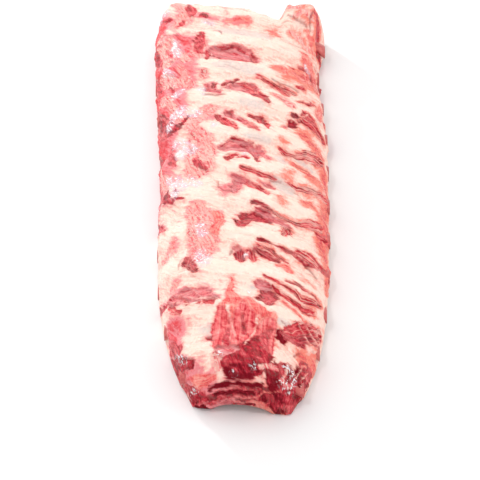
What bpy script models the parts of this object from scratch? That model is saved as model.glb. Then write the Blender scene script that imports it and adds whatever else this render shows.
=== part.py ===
"""A raw rack of back ribs: one arched slab of meat and fat with eleven rib bones running through it.

Run with: blender --background --python part.py

The rack lies with its rounded outer side up. Its length runs along Y, from the narrow cut end
at -Y to the wide end at +Y, and it rests on two flat strips, one under each long edge. Every
section is worked out at a station on the centre line, and then leans back to the left, as the
ribs and both cut ends do.
"""

import math

import bmesh
import bpy
from mathutils import Vector, noise

# ---------------------------------------------------------------- driving dimensions (metres)

NEAR_END = -0.222  # station of the narrow cut end
FAR_END = 0.220  # station of the wide end
SLANT = 0.20  # how far the rack leans back for each metre to the left
SLANT_LOSS_NEAR = 0.10  # the narrow cut end is squarer than the ribs
SLANT_LOSS_REACH = 0.030
NEAR_ROUND = 0.005  # how far the corners of the narrow cut end are drawn back
NEAR_ROUND_FROM = 0.86  # from this share of the half width outwards
NEAR_ROUND_LENGTH = 0.020

LEFT_WIDTH = 0.0645  # from the centre line to each long edge
RIGHT_WIDTH = 0.0685
LEFT_FLARE = 0.0095  # the left edge gets this much wider towards the wide end
LEFT_FLARE_RANGE = (-0.015, 0.185)
LEFT_CORNER = 0.0035  # and is drawn in again at its corner
LEFT_CORNER_RANGE = (0.195, 0.220)
LEFT_BELLY = 0.0030  # it stands out a little along the narrow half
LEFT_BELLY_AT = -0.140
LEFT_BELLY_SPREAD = 0.075
RIGHT_WAIST = 0.0050  # the right edge is drawn in by this much at one place
RIGHT_WAIST_AT = 0.165
RIGHT_WAIST_SPREAD = 0.045
RIGHT_CORNER = 0.0030  # and stands out by this much at the wide end's corner
RIGHT_CORNER_RANGE = (0.188, 0.205)
NARROWING = 0.47  # share of the width that is lost at the narrow end
NARROWING_REACH = 0.062

CROWN = 0.044  # height of the outer side over the board
CROWN_LOSS_NEAR = 0.012
CROWN_LOSS_FAR = 0.006
CROWN_LOSS_REACH = 0.030
ARCH = 0.024  # height of the hollow under the rack
ARCH_LOSS_NEAR = 0.0184
ARCH_LOSS_REACH = 0.040
FOOT = 0.014  # width of each strip that the rack rests on
FOOT_EDGE = 0.0015  # height of the blunt edge outside each strip

SHOULDER = 2.7  # power of the section's curve, larger for squarer shoulders
SHOULDER_LEFT = 0.35  # the left shoulder is squarer and the right one rounder by this much
SHOULDER_FAR = 1.0  # the left shoulder gets squarer still at the wide end
SHOULDER_FAR_RANGE = (0.080, 0.210)
VAULT_POWER = 0.9  # of the curve of the hollow, smaller for a flatter top

RIB_COUNT = 11
RIB_PITCH = 0.0412
FIRST_RIB = -0.205  # station of the rib next to the narrow end
RIB_WIDTH = 0.0115
RIB_THICKNESS = 0.0080
RIB_END_HEIGHT = 0.0105  # height of the middle of a sawn rib end
RIB_DEPTH_SHARE = 0.47  # where a rib lies between the hollow and the crown
RIB_END_SWELL = 1.12  # a rib is this much thicker at its ends
RIB_OVERRUN = 0.007  # how far a rib runs past the sides before it is sawn off
RIB_GAP = 0.0003  # all round each rib

# Flesh that stands out of the plain curve. Places and spreads across the rack are in shares of
# the way from the centre line to an edge, -1 at the left edge and 1 at the right.
RIB_SWELL = 0.0016  # height of the ridge over each rib
RIB_SWELL_LOSS = 0.65  # share of it that is lost towards both edges
RIB_SWELL_FADE = (0.55, 0.95)
UNDER_SWELL = 0.0012  # how far each rib shows on the hollow side
MUSCLE_HOLLOW = 0.0018  # depth of the bare muscle between two ribs
MUSCLE_AT = 0.12
MUSCLE_SPREAD = 0.22
MUSCLE_RANGE = (-0.150, -0.100)
LOIN_SWELL = 0.0022  # height of the long muscle on the left
LOIN_AT = -0.52
LOIN_SPREAD = 0.16
LOIN_RANGE = (-0.080, 0.020)
TONGUE_SWELL = 0.0030  # height of the muscle that runs out at the narrow end
TONGUE_AT = 0.02
TONGUE_SPREAD = 0.34
TONGUE_RANGE = (-0.150, -0.105)
KNOB_BACK = 0.0215  # how far the knob of fat reaches past the wide end
KNOB_UP = 0.009
KNOB_LENGTH = 0.045
KNOB_FLANK = (0.235, 0.33)  # its steep left flank, up to half its size
KNOB_TOP = (0.30, 0.58)  # and the easy slope on from there
KNOB_FALL = (0.62, 0.95)  # its right flank, over which it loses some of its reach
KNOB_FALL_SHARE = 0.35
KNOB_DOWN = (0.70, 1.00)  # and all of its height
KNOB_UNDER = 0.010  # how far the edge below the knob reaches back
KNOB_UNDER_RANGE = (0.55, 0.95)
DIP = 0.0072  # how far the wide end is drawn in beside the knob
DIP_START = (0.00, 0.16)
DIP_STOP = (0.22, 0.30)
DIP_LENGTH = 0.030
END_BULGE = 0.0030
LAYER_STEP = 0.0014  # how far the layers of muscle stand out of the narrow cut end
LAYERS = 2.5
LUMPINESS = 0.0014
LUMP_SIZE = 0.030

# ---------------------------------------------------------------- mesh resolution

ACROSS = 21  # points from one long edge to the other
ALONG = 67  # sections from end to end
CROWDING = 0.035  # how strongly the sections crowd towards both ends
END_ROWS = 5  # rows down each end face
RIB_POINTS = 9
RIB_SIDES = 8

# ---------------------------------------------------------------- the shape, by formula


def smooth(low, high, value):
    """0 below low, 1 above high and an easy curve between."""
    t = min(max((value - low) / (high - low), 0.0), 1.0)
    return t * t * (3 - 2 * t)


def bump(value, centre, width):
    """A rounded hill of height 1."""
    return math.exp(-(((value - centre) / width) ** 2))


def half_width(y, s):
    """From the centre line to the long edge on the side of s, left for s below 0."""
    if s < 0:
        plain = LEFT_WIDTH + LEFT_FLARE * smooth(*LEFT_FLARE_RANGE, y)
        plain -= LEFT_CORNER * smooth(*LEFT_CORNER_RANGE, y)
        plain += LEFT_BELLY * bump(y, LEFT_BELLY_AT, LEFT_BELLY_SPREAD)
    else:
        plain = RIGHT_WIDTH - RIGHT_WAIST * bump(y, RIGHT_WAIST_AT, RIGHT_WAIST_SPREAD)
        plain += RIGHT_CORNER * smooth(*RIGHT_CORNER_RANGE, y)
    return plain * (1 - NARROWING * math.exp(-(y - NEAR_END) / NARROWING_REACH))


def crown(y):
    near = CROWN_LOSS_NEAR * math.exp(-(y - NEAR_END) / CROWN_LOSS_REACH)
    far = CROWN_LOSS_FAR * math.exp(-(FAR_END - y) / CROWN_LOSS_REACH)
    return CROWN - near - far


def arch(y):
    return ARCH - ARCH_LOSS_NEAR * math.exp(-(y - NEAR_END) / ARCH_LOSS_REACH)


def rib_line(number):
    """Station of a rib, counted from the narrow end."""
    return FIRST_RIB + number * RIB_PITCH


def rib_wave(y):
    """1 over a rib and -1 half way between two."""
    return math.cos(2 * math.pi * (y - FIRST_RIB) / RIB_PITCH)


def leaning(x, y, z):
    """The place of a point of the section at station y."""
    slant = SLANT - SLANT_LOSS_NEAR * math.exp(-(y - NEAR_END) / SLANT_LOSS_REACH)
    outwards = max(min(abs(x) / half_width(y, x), 1) - NEAR_ROUND_FROM, 0) / (1 - NEAR_ROUND_FROM)
    drawn_back = NEAR_ROUND * outwards**2 * (1 - smooth(NEAR_END, NEAR_END + NEAR_ROUND_LENGTH, y))
    return Vector((x, y - slant * x + drawn_back, z))


def outer_profile(y, s):
    """The plain outer curve of a section. s runs from -1 at the left edge to 1 at the right."""
    side = math.tanh(2.5 * s)
    squareness = SHOULDER - SHOULDER_LEFT * side
    squareness += SHOULDER_FAR * smooth(*SHOULDER_FAR_RANGE, y) * max(-side, 0)
    turn = s * math.pi / 2
    across = math.copysign(abs(math.sin(turn)) ** (2 / squareness), s)
    up = abs(math.cos(turn)) ** (2 / squareness)
    return half_width(y, s) * across, FOOT_EDGE + (crown(y) - FOOT_EDGE) * up


def outer_relief(y, s):
    """How far the flesh stands out of the plain outer curve."""
    wave = rib_wave(y)
    over_ribs = RIB_SWELL * wave * (1 - RIB_SWELL_LOSS * smooth(*RIB_SWELL_FADE, abs(s)))
    between_ribs = max(-wave, 0) * smooth(*MUSCLE_RANGE, y)
    bare_muscle = -MUSCLE_HOLLOW * between_ribs * bump(s, MUSCLE_AT, MUSCLE_SPREAD)
    loin = LOIN_SWELL * bump(s, LOIN_AT, LOIN_SPREAD) * smooth(*LOIN_RANGE, y)
    tongue = TONGUE_SWELL * bump(s, TONGUE_AT, TONGUE_SPREAD) * (1 - smooth(*TONGUE_RANGE, y))
    return over_ribs + bare_muscle + loin + tongue


def wide_end_shift(y, s):
    """How far the knob of fat at the wide end's right corner goes back and up, less the dip beside it."""
    rise = (smooth(*KNOB_FLANK, s) + smooth(*KNOB_TOP, s)) / 2 * smooth(FAR_END - KNOB_LENGTH, FAR_END, y)
    back = KNOB_BACK * rise * (1 - KNOB_FALL_SHARE * smooth(*KNOB_FALL, s))
    beside = smooth(*DIP_START, s) * (1 - smooth(*DIP_STOP, s))
    dip = DIP * beside * smooth(FAR_END - DIP_LENGTH, FAR_END, y)
    return back - dip, KNOB_UP * rise * (1 - smooth(*KNOB_DOWN, s))


def outer_point(y, s):
    x, z = outer_profile(y, s)
    x_left, z_left = outer_profile(y, max(s - 0.01, -1))
    x_right, z_right = outer_profile(y, min(s + 0.01, 1))
    outward = Vector((z_left - z_right, 0, x_right - x_left)).normalized()
    lumps = LUMPINESS * noise.noise(Vector((x, y, z)) / LUMP_SIZE)
    rise = (outer_relief(y, s) + lumps) * (1 - smooth(0.90, 1.0, abs(s)))
    back, up = wide_end_shift(y, s)
    return leaning(x, y + back, z + up) + outward * rise


def under_point(y, s):
    """The hollow side: flat strips under the long edges and an arch between them."""
    edge = half_width(y, s)
    x = (edge - FOOT_EDGE) * s
    share = min(abs(x) / max(edge - FOOT, 0.01), 1)
    vault = (1 - share**2) ** VAULT_POWER
    z = arch(y) * vault - UNDER_SWELL * rib_wave(y) * smooth(0.1, 0.6, vault)
    back = KNOB_UNDER * smooth(*KNOB_UNDER_RANGE, s) * smooth(FAR_END - KNOB_LENGTH, FAR_END, y)
    return leaning(x, y + back, max(z, 0))


def end_relief(y, height):
    """How far a cut end stands out. The narrow end shows its layers of muscle as shallow steps."""
    middle = math.sin(math.pi * height)
    if y > 0:
        return END_BULGE * middle
    return -(END_BULGE + LAYER_STEP * math.cos(2 * math.pi * LAYERS * height)) * middle


def station(number):
    """Station of a section. Sections crowd a little towards both ends."""
    t = number / (ALONG - 1)
    return NEAR_END + (FAR_END - NEAR_END) * (t - CROWDING * math.sin(2 * math.pi * t))


# ---------------------------------------------------------------- helpers


def clear_scene():
    for thing in list(bpy.data.objects):
        bpy.data.objects.remove(thing)


def collection(name):
    made = bpy.data.collections.new(name)
    bpy.context.scene.collection.children.link(made)
    return made


def material(name, colour, roughness):
    made = bpy.data.materials.new(name)
    made.use_nodes = True
    shader = made.node_tree.nodes["Principled BSDF"]
    shader.inputs["Base Color"].default_value = (*colour, 1)
    shader.inputs["Roughness"].default_value = roughness
    shader.inputs["Metallic"].default_value = 0
    return made


def place(name, data, home, origin):
    made = bpy.data.objects.new(name, data)
    made.parent = origin
    home.objects.link(made)
    return made


def as_guide(thing):
    thing.hide_render = True
    thing.display_type = "WIRE"


# ---------------------------------------------------------------- the slab


def quads(mesh, first, second):
    for i in range(len(first) - 1):
        mesh.faces.new((first[i], first[i + 1], second[i + 1], second[i]))


def end_face(mesh, y, under, outer):
    """Rows of points from the under edge up to the outer edge. One face closes each thin tip."""
    rows = [under[1:-1]]
    for number in range(1, END_ROWS):
        height = number / END_ROWS
        row = [low.co.lerp(high.co, height) for low, high in zip(under[1:-1], outer[1:-1])]
        rows.append([mesh.verts.new(point + Vector((0, end_relief(y, height), 0))) for point in row])
    rows.append(outer[1:-1])
    for low, high in zip(rows, rows[1:]):
        quads(mesh, low, high)
    for side in (0, -1):
        mesh.faces.new((under[side], *[row[side] for row in rows], outer[side]))


def slab_mesh(name):
    """A loft of crescent sections: an outer sheet, a hollow sheet, two long edges and two end faces."""
    mesh = bmesh.new()
    spread = [-1 + 2 * i / (ACROSS - 1) for i in range(ACROSS)]
    stations = [station(j) for j in range(ALONG)]
    outer = [[mesh.verts.new(outer_point(y, s)) for s in spread] for y in stations]
    under = [[mesh.verts.new(under_point(y, s)) for s in spread] for y in stations]
    for j in range(ALONG - 1):
        quads(mesh, outer[j], outer[j + 1])
        quads(mesh, under[j], under[j + 1])
        for side in (0, -1):
            quads(mesh, (outer[j][side], outer[j + 1][side]), (under[j][side], under[j + 1][side]))
    for end in (0, -1):
        end_face(mesh, stations[end], under[end], outer[end])
    bmesh.ops.recalc_face_normals(mesh, faces=mesh.faces)
    data = bpy.data.meshes.new(name)
    mesh.to_mesh(data)
    mesh.free()
    data.shade_smooth()
    return data


# ---------------------------------------------------------------- the ribs


def oval(name, width, height, home):
    """The outline of a rib's section, as a guide for its curve."""
    line = bpy.data.curves.new(name, "CURVE")
    line.dimensions = "2D"
    spline = line.splines.new("POLY")
    spline.points.add(RIB_SIDES - 1)
    spline.use_cyclic_u = True
    for number, point in enumerate(spline.points):
        turn = 2 * math.pi * (number + 0.5) / RIB_SIDES
        point.co = (height / 2 * math.cos(turn), width / 2 * math.sin(turn), 0, 1)
    made = bpy.data.objects.new(name, line)
    as_guide(made)
    home.objects.link(made)
    return made


def rib_route(number):
    """Points along a rib, each with its swell, from outside the left edge to outside the right."""
    y = rib_line(number)
    middle = arch(y) + RIB_DEPTH_SHARE * (crown(y) - arch(y))
    left = -half_width(y, -1) - RIB_OVERRUN
    right = half_width(y, 1) + RIB_OVERRUN
    route = []
    for i in range(RIB_POINTS):
        x = left + (right - left) * i / (RIB_POINTS - 1)
        share = (x / half_width(y, x)) ** 2
        z = RIB_END_HEIGHT + (middle - RIB_END_HEIGHT) * (1 - share)
        route.append((leaning(x, y, z), 1 + (RIB_END_SWELL - 1) * share))
    return route


def rib_mesh(number, section, home):
    """A bent bar of the given section along a rib's route, with its caps welded on."""
    line = bpy.data.curves.new("rib_line", "CURVE")
    line.dimensions = "3D"
    line.twist_mode = "Z_UP"
    line.bevel_mode = "OBJECT"
    line.bevel_object = section
    line.use_fill_caps = True
    spline = line.splines.new("POLY")
    spline.points.add(RIB_POINTS - 1)
    for point, (spot, swell) in zip(spline.points, rib_route(number)):
        point.co = (*spot, 1)
        point.radius = swell
    curve = bpy.data.objects.new("rib_line", line)
    home.objects.link(curve)
    graph = bpy.context.evaluated_depsgraph_get()
    data = bpy.data.meshes.new_from_object(curve.evaluated_get(graph))
    bpy.data.objects.remove(curve)
    welded = bmesh.new()
    welded.from_mesh(data)
    bmesh.ops.remove_doubles(welded, verts=welded.verts, dist=0.00001)
    bmesh.ops.recalc_face_normals(welded, faces=welded.faces)
    welded.to_mesh(data)
    welded.free()
    data.shade_smooth()
    data.set_sharp_from_angle(angle=math.radians(60))
    return data


def sawn_flush(rib, slab):
    """Keep only what lies inside the slab, so that the sawn rib ends are level with its sides."""
    saw = rib.modifiers.new("sawn_ends", "BOOLEAN")
    saw.operation = "INTERSECT"
    saw.solver = "EXACT"
    saw.object = slab


def bored(meat, bores):
    """Cut the room for every rib out of the meat."""
    cut = meat.modifiers.new("bores", "BOOLEAN")
    cut.operation = "DIFFERENCE"
    cut.solver = "EXACT"
    cut.operand_type = "COLLECTION"
    cut.collection = bores


# ---------------------------------------------------------------- the rack

clear_scene()
rack = collection("rack_of_ribs")
guides = collection("guides")
bores = collection("rib_bores")
raw_meat = material("raw_meat", (0.78, 0.42, 0.36), 0.40)
bone = material("bone", (0.86, 0.78, 0.70), 0.35)

# The rack's origin is under the middle of its box, so the slab is built first to see where that is.
slab_data = slab_mesh("slab")
reach_x = [vertex.co.x for vertex in slab_data.vertices]
reach_y = [vertex.co.y for vertex in slab_data.vertices]
origin = bpy.data.objects.new("rack_origin", None)
origin.location = (-(min(reach_x) + max(reach_x)) / 2, -(min(reach_y) + max(reach_y)) / 2, 0)
guides.objects.link(origin)

slab = place("slab", slab_data, guides, origin)
as_guide(slab)
meat = place("meat", slab_mesh("meat"), rack, origin)
meat.data.materials.append(raw_meat)

rib_section = oval("rib_section", RIB_WIDTH, RIB_THICKNESS, guides)
bore_section = oval("bore_section", RIB_WIDTH + 2 * RIB_GAP, RIB_THICKNESS + 2 * RIB_GAP, guides)
for rib_number in range(RIB_COUNT):
    rib = place(f"rib_{rib_number + 1:02d}", rib_mesh(rib_number, rib_section, guides), rack, origin)
    rib.data.materials.append(bone)
    sawn_flush(rib, slab)
    bore = place(f"bore_{rib_number + 1:02d}", rib_mesh(rib_number, bore_section, guides), bores, origin)
    as_guide(bore)
bored(meat, bores)
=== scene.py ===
# %% [markdown]
# # A raw rack of back ribs
#
# A rack is one long arched slab: rib bones side by side, muscle between them, and a coat of
# cream fat that the butcher has scraped thin. Almost all of its look is in the outer skin, so
# this lesson spends its time there: first the body's shape, then a map of where muscle, fat and
# bone show, then the relief that follows the map, and last the materials that read it.

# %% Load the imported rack
import math

import bmesh
import bpy
import numpy as np
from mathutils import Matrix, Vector


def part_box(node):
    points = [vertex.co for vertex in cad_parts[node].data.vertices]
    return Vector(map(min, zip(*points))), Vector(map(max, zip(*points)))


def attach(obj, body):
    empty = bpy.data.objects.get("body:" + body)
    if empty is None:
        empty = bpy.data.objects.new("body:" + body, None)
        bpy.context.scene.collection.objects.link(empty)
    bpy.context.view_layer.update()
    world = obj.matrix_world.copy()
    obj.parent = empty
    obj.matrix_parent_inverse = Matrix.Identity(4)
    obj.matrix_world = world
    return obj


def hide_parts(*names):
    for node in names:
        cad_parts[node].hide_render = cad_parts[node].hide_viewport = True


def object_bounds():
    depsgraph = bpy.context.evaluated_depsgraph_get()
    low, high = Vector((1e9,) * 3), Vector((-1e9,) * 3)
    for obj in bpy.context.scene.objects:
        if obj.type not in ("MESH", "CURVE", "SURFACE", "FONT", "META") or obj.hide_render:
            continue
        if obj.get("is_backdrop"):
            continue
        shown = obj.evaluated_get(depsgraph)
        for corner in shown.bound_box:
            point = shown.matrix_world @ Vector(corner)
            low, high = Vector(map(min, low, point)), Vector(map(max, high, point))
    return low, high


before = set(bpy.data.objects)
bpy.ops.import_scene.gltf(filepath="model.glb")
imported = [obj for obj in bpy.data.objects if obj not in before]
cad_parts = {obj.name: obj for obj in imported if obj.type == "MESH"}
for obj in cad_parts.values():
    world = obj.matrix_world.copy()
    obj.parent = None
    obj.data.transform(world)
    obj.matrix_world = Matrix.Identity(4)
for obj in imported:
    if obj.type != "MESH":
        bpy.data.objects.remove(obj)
solid_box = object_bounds()
MM = 0.001
meat_low, meat_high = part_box("meat")
print("the meat measures", [round((b - a) / MM, 1) for a, b in zip(meat_low, meat_high)], "mm")

# %% [markdown]
# ## The body's plain shape
#
# A cross-section of the rack is a crescent: a rounded outer side over a low hollow. The section
# changes slowly along the rack, so a few formulas in two numbers say it all. `v` is the station
# along the rack in millimetres, from the narrow cut end to the wide end. `s` runs across from -1
# at the left edge to 1 at the right. The sizes are the solid's own, so that the fine skin lies
# where the solid has its surface. Modelling it by hand would give no such promise.

# %% Driving sizes, in millimetres
NEAR_END = -222.0
FAR_END = 220.0
RIB_PITCH = 41.2
FIRST_RIB = -205.0
RIB_COUNT = sum(name.startswith("rib_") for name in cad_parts)
LEFT_WIDTH = 64.5  # from the centre line to each long edge
RIGHT_WIDTH = 68.5
NARROWING = 0.47  # share of the width that is lost at the narrow end
CROWN = 44.0  # height of the outer side
CROWN_LOSS_NEAR = 12.0
CROWN_LOSS_FAR = 6.0
ARCH = 24.0  # height of the hollow
ARCH_LOSS_NEAR = 18.4
SLANT = 0.20  # how far the rack leans back for each millimetre to the left
FOOT = 14.0  # width of each strip that the rack rests on
FOOT_EDGE = 1.5  # height of the blunt edge outside each strip
KNOB_BACK = 21.5  # how far the knob of fat reaches past the wide end, and up
KNOB_UP = 9.0
DIP = 7.2  # how far the wide end is drawn in beside the knob


def smooth(low, high, value):
    """0 below low, 1 above high and an easy curve between."""
    t = np.clip((value - low) / (high - low), 0, 1)
    return t * t * (3 - 2 * t)


def bump(value, centre, width):
    """A rounded hill of height 1."""
    return np.exp(-(((value - centre) / width) ** 2))


def near_the_cut(v, reach):
    """1 at the narrow cut end, dying away over reach millimetres."""
    return np.exp(-(v - NEAR_END) / reach)


def half_width(v, s):
    left = LEFT_WIDTH + 9.5 * smooth(-15, 185, v) - 3.5 * smooth(195, 220, v) + 3.0 * bump(v, -140, 75)
    right = RIGHT_WIDTH - 5.0 * bump(v, 165, 45) + 3.0 * smooth(188, 205, v)
    return np.where(s < 0, left, right) * (1 - NARROWING * near_the_cut(v, 62))


def crown(v):
    return CROWN - CROWN_LOSS_NEAR * near_the_cut(v, 30) - CROWN_LOSS_FAR * np.exp(-(FAR_END - v) / 30)


def arch(v):
    return ARCH - ARCH_LOSS_NEAR * near_the_cut(v, 40)


def rib_wave(v):
    """1 over a rib and -1 half way between two."""
    return np.cos(2 * np.pi * (v - FIRST_RIB) / RIB_PITCH)


def leaning(x, v, z):
    """The section at station v leans back to the left, as the ribs do. Near corners are round."""
    slant = SLANT - 0.10 * near_the_cut(v, 30)
    outwards = np.maximum(np.minimum(np.abs(x) / half_width(v, x), 1) - 0.86, 0) / 0.14
    drawn_back = 5.0 * outwards**2 * (1 - smooth(NEAR_END, NEAR_END + 20, v))
    return np.stack([x, v - slant * x + drawn_back, z], axis=-1)


def outer_profile(v, s):
    side = np.tanh(2.5 * s)
    squareness = 2.7 - 0.35 * side + 1.0 * smooth(80, 210, v) * np.maximum(-side, 0)
    turn = s * np.pi / 2
    across = np.sign(s) * np.abs(np.sin(turn)) ** (2 / squareness)
    up = np.abs(np.cos(turn)) ** (2 / squareness)
    return half_width(v, s) * across, FOOT_EDGE + (crown(v) - FOOT_EDGE) * up


def swells(v, s):
    """The forms that the solid has too: ridges over the ribs and the long muscles between them."""
    wave = rib_wave(v)
    over_ribs = 1.6 * wave * (1 - 0.65 * smooth(0.55, 0.95, np.abs(s)))
    bare_muscle = -1.8 * np.maximum(-wave, 0) * bump(s, 0.12, 0.22) * smooth(-150, -100, v)
    loin = 2.2 * bump(s, -0.52, 0.16) * smooth(-80, 20, v)
    tongue = 3.0 * bump(s, 0.02, 0.34) * (1 - smooth(-150, -105, v))
    return over_ribs + bare_muscle + loin + tongue


def wide_end_shift(v, s):
    """How far the knob of fat at the right far corner goes back and up, less the dip beside it."""
    rise = (smooth(0.235, 0.33, s) + smooth(0.30, 0.58, s)) / 2 * smooth(FAR_END - 45, FAR_END, v)
    dip = DIP * smooth(0.0, 0.16, s) * (1 - smooth(0.22, 0.30, s)) * smooth(FAR_END - 30, FAR_END, v)
    back = KNOB_BACK * rise * (1 - 0.35 * smooth(0.62, 0.95, s)) - dip
    return back, KNOB_UP * rise * (1 - smooth(0.70, 1.0, s))


def under_surface(v, share):
    """The hollow side. share runs from -1 at the left edge to 1 at the right."""
    edge = half_width(v, share)
    x = (edge - FOOT_EDGE) * share
    reach = np.clip(np.abs(x) / np.maximum(edge - FOOT, 10), 0, 1)
    vault = (1 - reach**2) ** 0.9
    z = arch(v) * vault - 1.2 * rib_wave(v) * smooth(0.1, 0.6, vault)
    points = leaning(x, v, np.maximum(z, 0))
    points[..., 1] += 10 * smooth(0.55, 0.95, share) * smooth(FAR_END - 45, FAR_END, v)
    return points


print("sections from", NEAR_END, "to", FAR_END, "mm, ribs every", RIB_PITCH, "mm")

# %% [markdown]
# ## A skin of even small squares
#
# Relief needs points where the detail is, about one every millimetre. The section's formula
# crowds its points at the edges, so each section is first measured along its curve and then
# divided evenly. The measure along the curve, `a`, is kept: with `v` it makes a flat map of the
# skin in true millimetres, on which muscles can be drawn as on a sheet of paper. Both cut ends
# are folded out of the same sheet, so the map runs on over the edge and down the cut.

# %% The skin sheet
COLUMNS = 181
ROW_STEP = 1.05
END_ROWS = 20
BULGE = 3.0

stations = np.linspace(NEAR_END, FAR_END, round((FAR_END - NEAR_END) / ROW_STEP) + 1)
dense = np.linspace(-1, 1, 1601)
dense = np.sign(dense) * np.abs(dense) ** 1.6
dense_x, dense_z = outer_profile(stations[:, None], dense[None, :])
steps = np.hypot(np.diff(dense_x, axis=1), np.diff(dense_z, axis=1))
lengths = np.concatenate([np.zeros((len(stations), 1)), np.cumsum(steps, axis=1)], axis=1)
lengths -= lengths[:, len(dense) // 2][:, None]
even = np.linspace(0, 1, COLUMNS)
arc = lengths[:, :1] + (lengths[:, -1:] - lengths[:, :1]) * even
spread = np.stack([np.interp(row, far, dense) for row, far in zip(arc, lengths)])
along = np.repeat(stations[:, None], COLUMNS, axis=1)


def plain_skin(v, s):
    """Points of the smooth outer side, with the swells on it."""
    x, z = outer_profile(v, s)
    x_left, z_left = outer_profile(v, np.maximum(s - 0.01, -1))
    x_right, z_right = outer_profile(v, np.minimum(s + 0.01, 1))
    size = np.hypot(z_left - z_right, x_right - x_left) + 1e-9
    rise = swells(v, s) * (1 - smooth(0.90, 1.0, np.abs(s)))
    back, up = wide_end_shift(v, s)
    points = leaning(x, v, z + up)
    points[..., 1] += back
    points[..., 0] += (z_left - z_right) / size * rise
    points[..., 2] += (x_right - x_left) / size * rise
    return points


def cut_face(top, bottom, bulge):
    """Rows of points down a cut end, from just below its upper edge to its lower edge."""
    t = np.linspace(0, 1, END_ROWS + 1)[1:, None, None]
    face = top + (bottom - top) * t
    face[..., 1] += (bulge * np.sin(np.pi * t))[..., 0]
    return face, np.linalg.norm(top - bottom, axis=1) * t[..., 0]


skin = plain_skin(along, spread)
share = np.linspace(-1, 1, COLUMNS)
near_face, near_depth = cut_face(skin[0], under_surface(np.full(COLUMNS, NEAR_END), share), -BULGE)
far_face, far_depth = cut_face(skin[-1], under_surface(np.full(COLUMNS, FAR_END), share), BULGE)
skin = np.concatenate([near_face[::-1], skin, far_face])
map_v = np.concatenate([NEAR_END - near_depth[::-1], along, FAR_END + far_depth])
map_a = np.concatenate([np.repeat(arc[:1], END_ROWS, 0), arc, np.repeat(arc[-1:], END_ROWS, 0)])
ROWS = len(skin)

for _ in range(10):  # eases the two folds between the outer side and the cut ends
    eased = skin.copy()
    eased[1:-1] = (skin[:-2] + 2 * skin[1:-1] + skin[2:]) / 4
    rows = np.arange(ROWS)
    near_fold = np.maximum(bump(rows, END_ROWS, 3), bump(rows, ROWS - END_ROWS - 1, 3))
    skin += (eased - skin) * near_fold[:, None, None]

corner = np.array(meat_low)[:2] / MM
shift = corner - skin[..., :2].reshape(-1, 2).min(0)
shift[1] = (meat_low[1] + meat_high[1]) / MM / 2 - (skin[..., 1].min() + skin[..., 1].max()) / 2
print("skin of", ROWS, "by", COLUMNS, "points, moved by", np.round(shift, 2), "mm to the solid's place")

# %% [markdown]
# ## Even, seeded unevenness
#
# Flesh is never smooth, yet a script has to give the same rack each time. Blender's own noise
# would need a call for each of the seventy thousand points. A lattice of random values with
# smooth steps between them does the same for the whole map at once, and a seed fixes it.

# %% Noise over the map


def noise(a, v, size, seed, stretch=1.0):
    """Soft random hills between -1 and 1, size mm apart, longer along v by stretch."""
    values = np.random.default_rng(seed).uniform(-1, 1, (512, 512))
    x, y = a / size + 130.5, v / (size * stretch) + 260.5
    column, row = np.floor(x).astype(int), np.floor(y).astype(int)
    fx, fy = x - column, y - row
    fx, fy = fx**3 * (fx * (6 * fx - 15) + 10), fy**3 * (fy * (6 * fy - 15) + 10)
    column, row = column % 511, row % 511
    low = values[row, column] * (1 - fx) + values[row, column + 1] * fx
    high = values[row + 1, column] * (1 - fx) + values[row + 1, column + 1] * fx
    return low * (1 - fy) + high * fy


def layered(a, v, size, seed, layers=3):
    """Noise with smaller, weaker noise on it."""
    total = sum(noise(a, v, size / 2.1**i, seed + i) / 2**i for i in range(layers))
    return total / 1.6


trial = layered(map_a, map_v, 9, 1)
print("noise over the map ranges", np.round([trial.min(), trial.max()], 2))

# %% [markdown]
# ## The map of muscle, fat and bone
#
# The butcher's knife has left the muscle bare in some places and fat in others. Each bare place
# is drawn as a brush stroke: a path of points, each with its place across and along the map and
# the stroke's half width there, in millimetres. The kind of stroke says how dark, how marbled,
# how warm and how wet the muscle is, and how deep it lies under the fat. Strokes are quick to
# read and to change, and they carry a direction, which the fibres of the muscle then follow.

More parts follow.
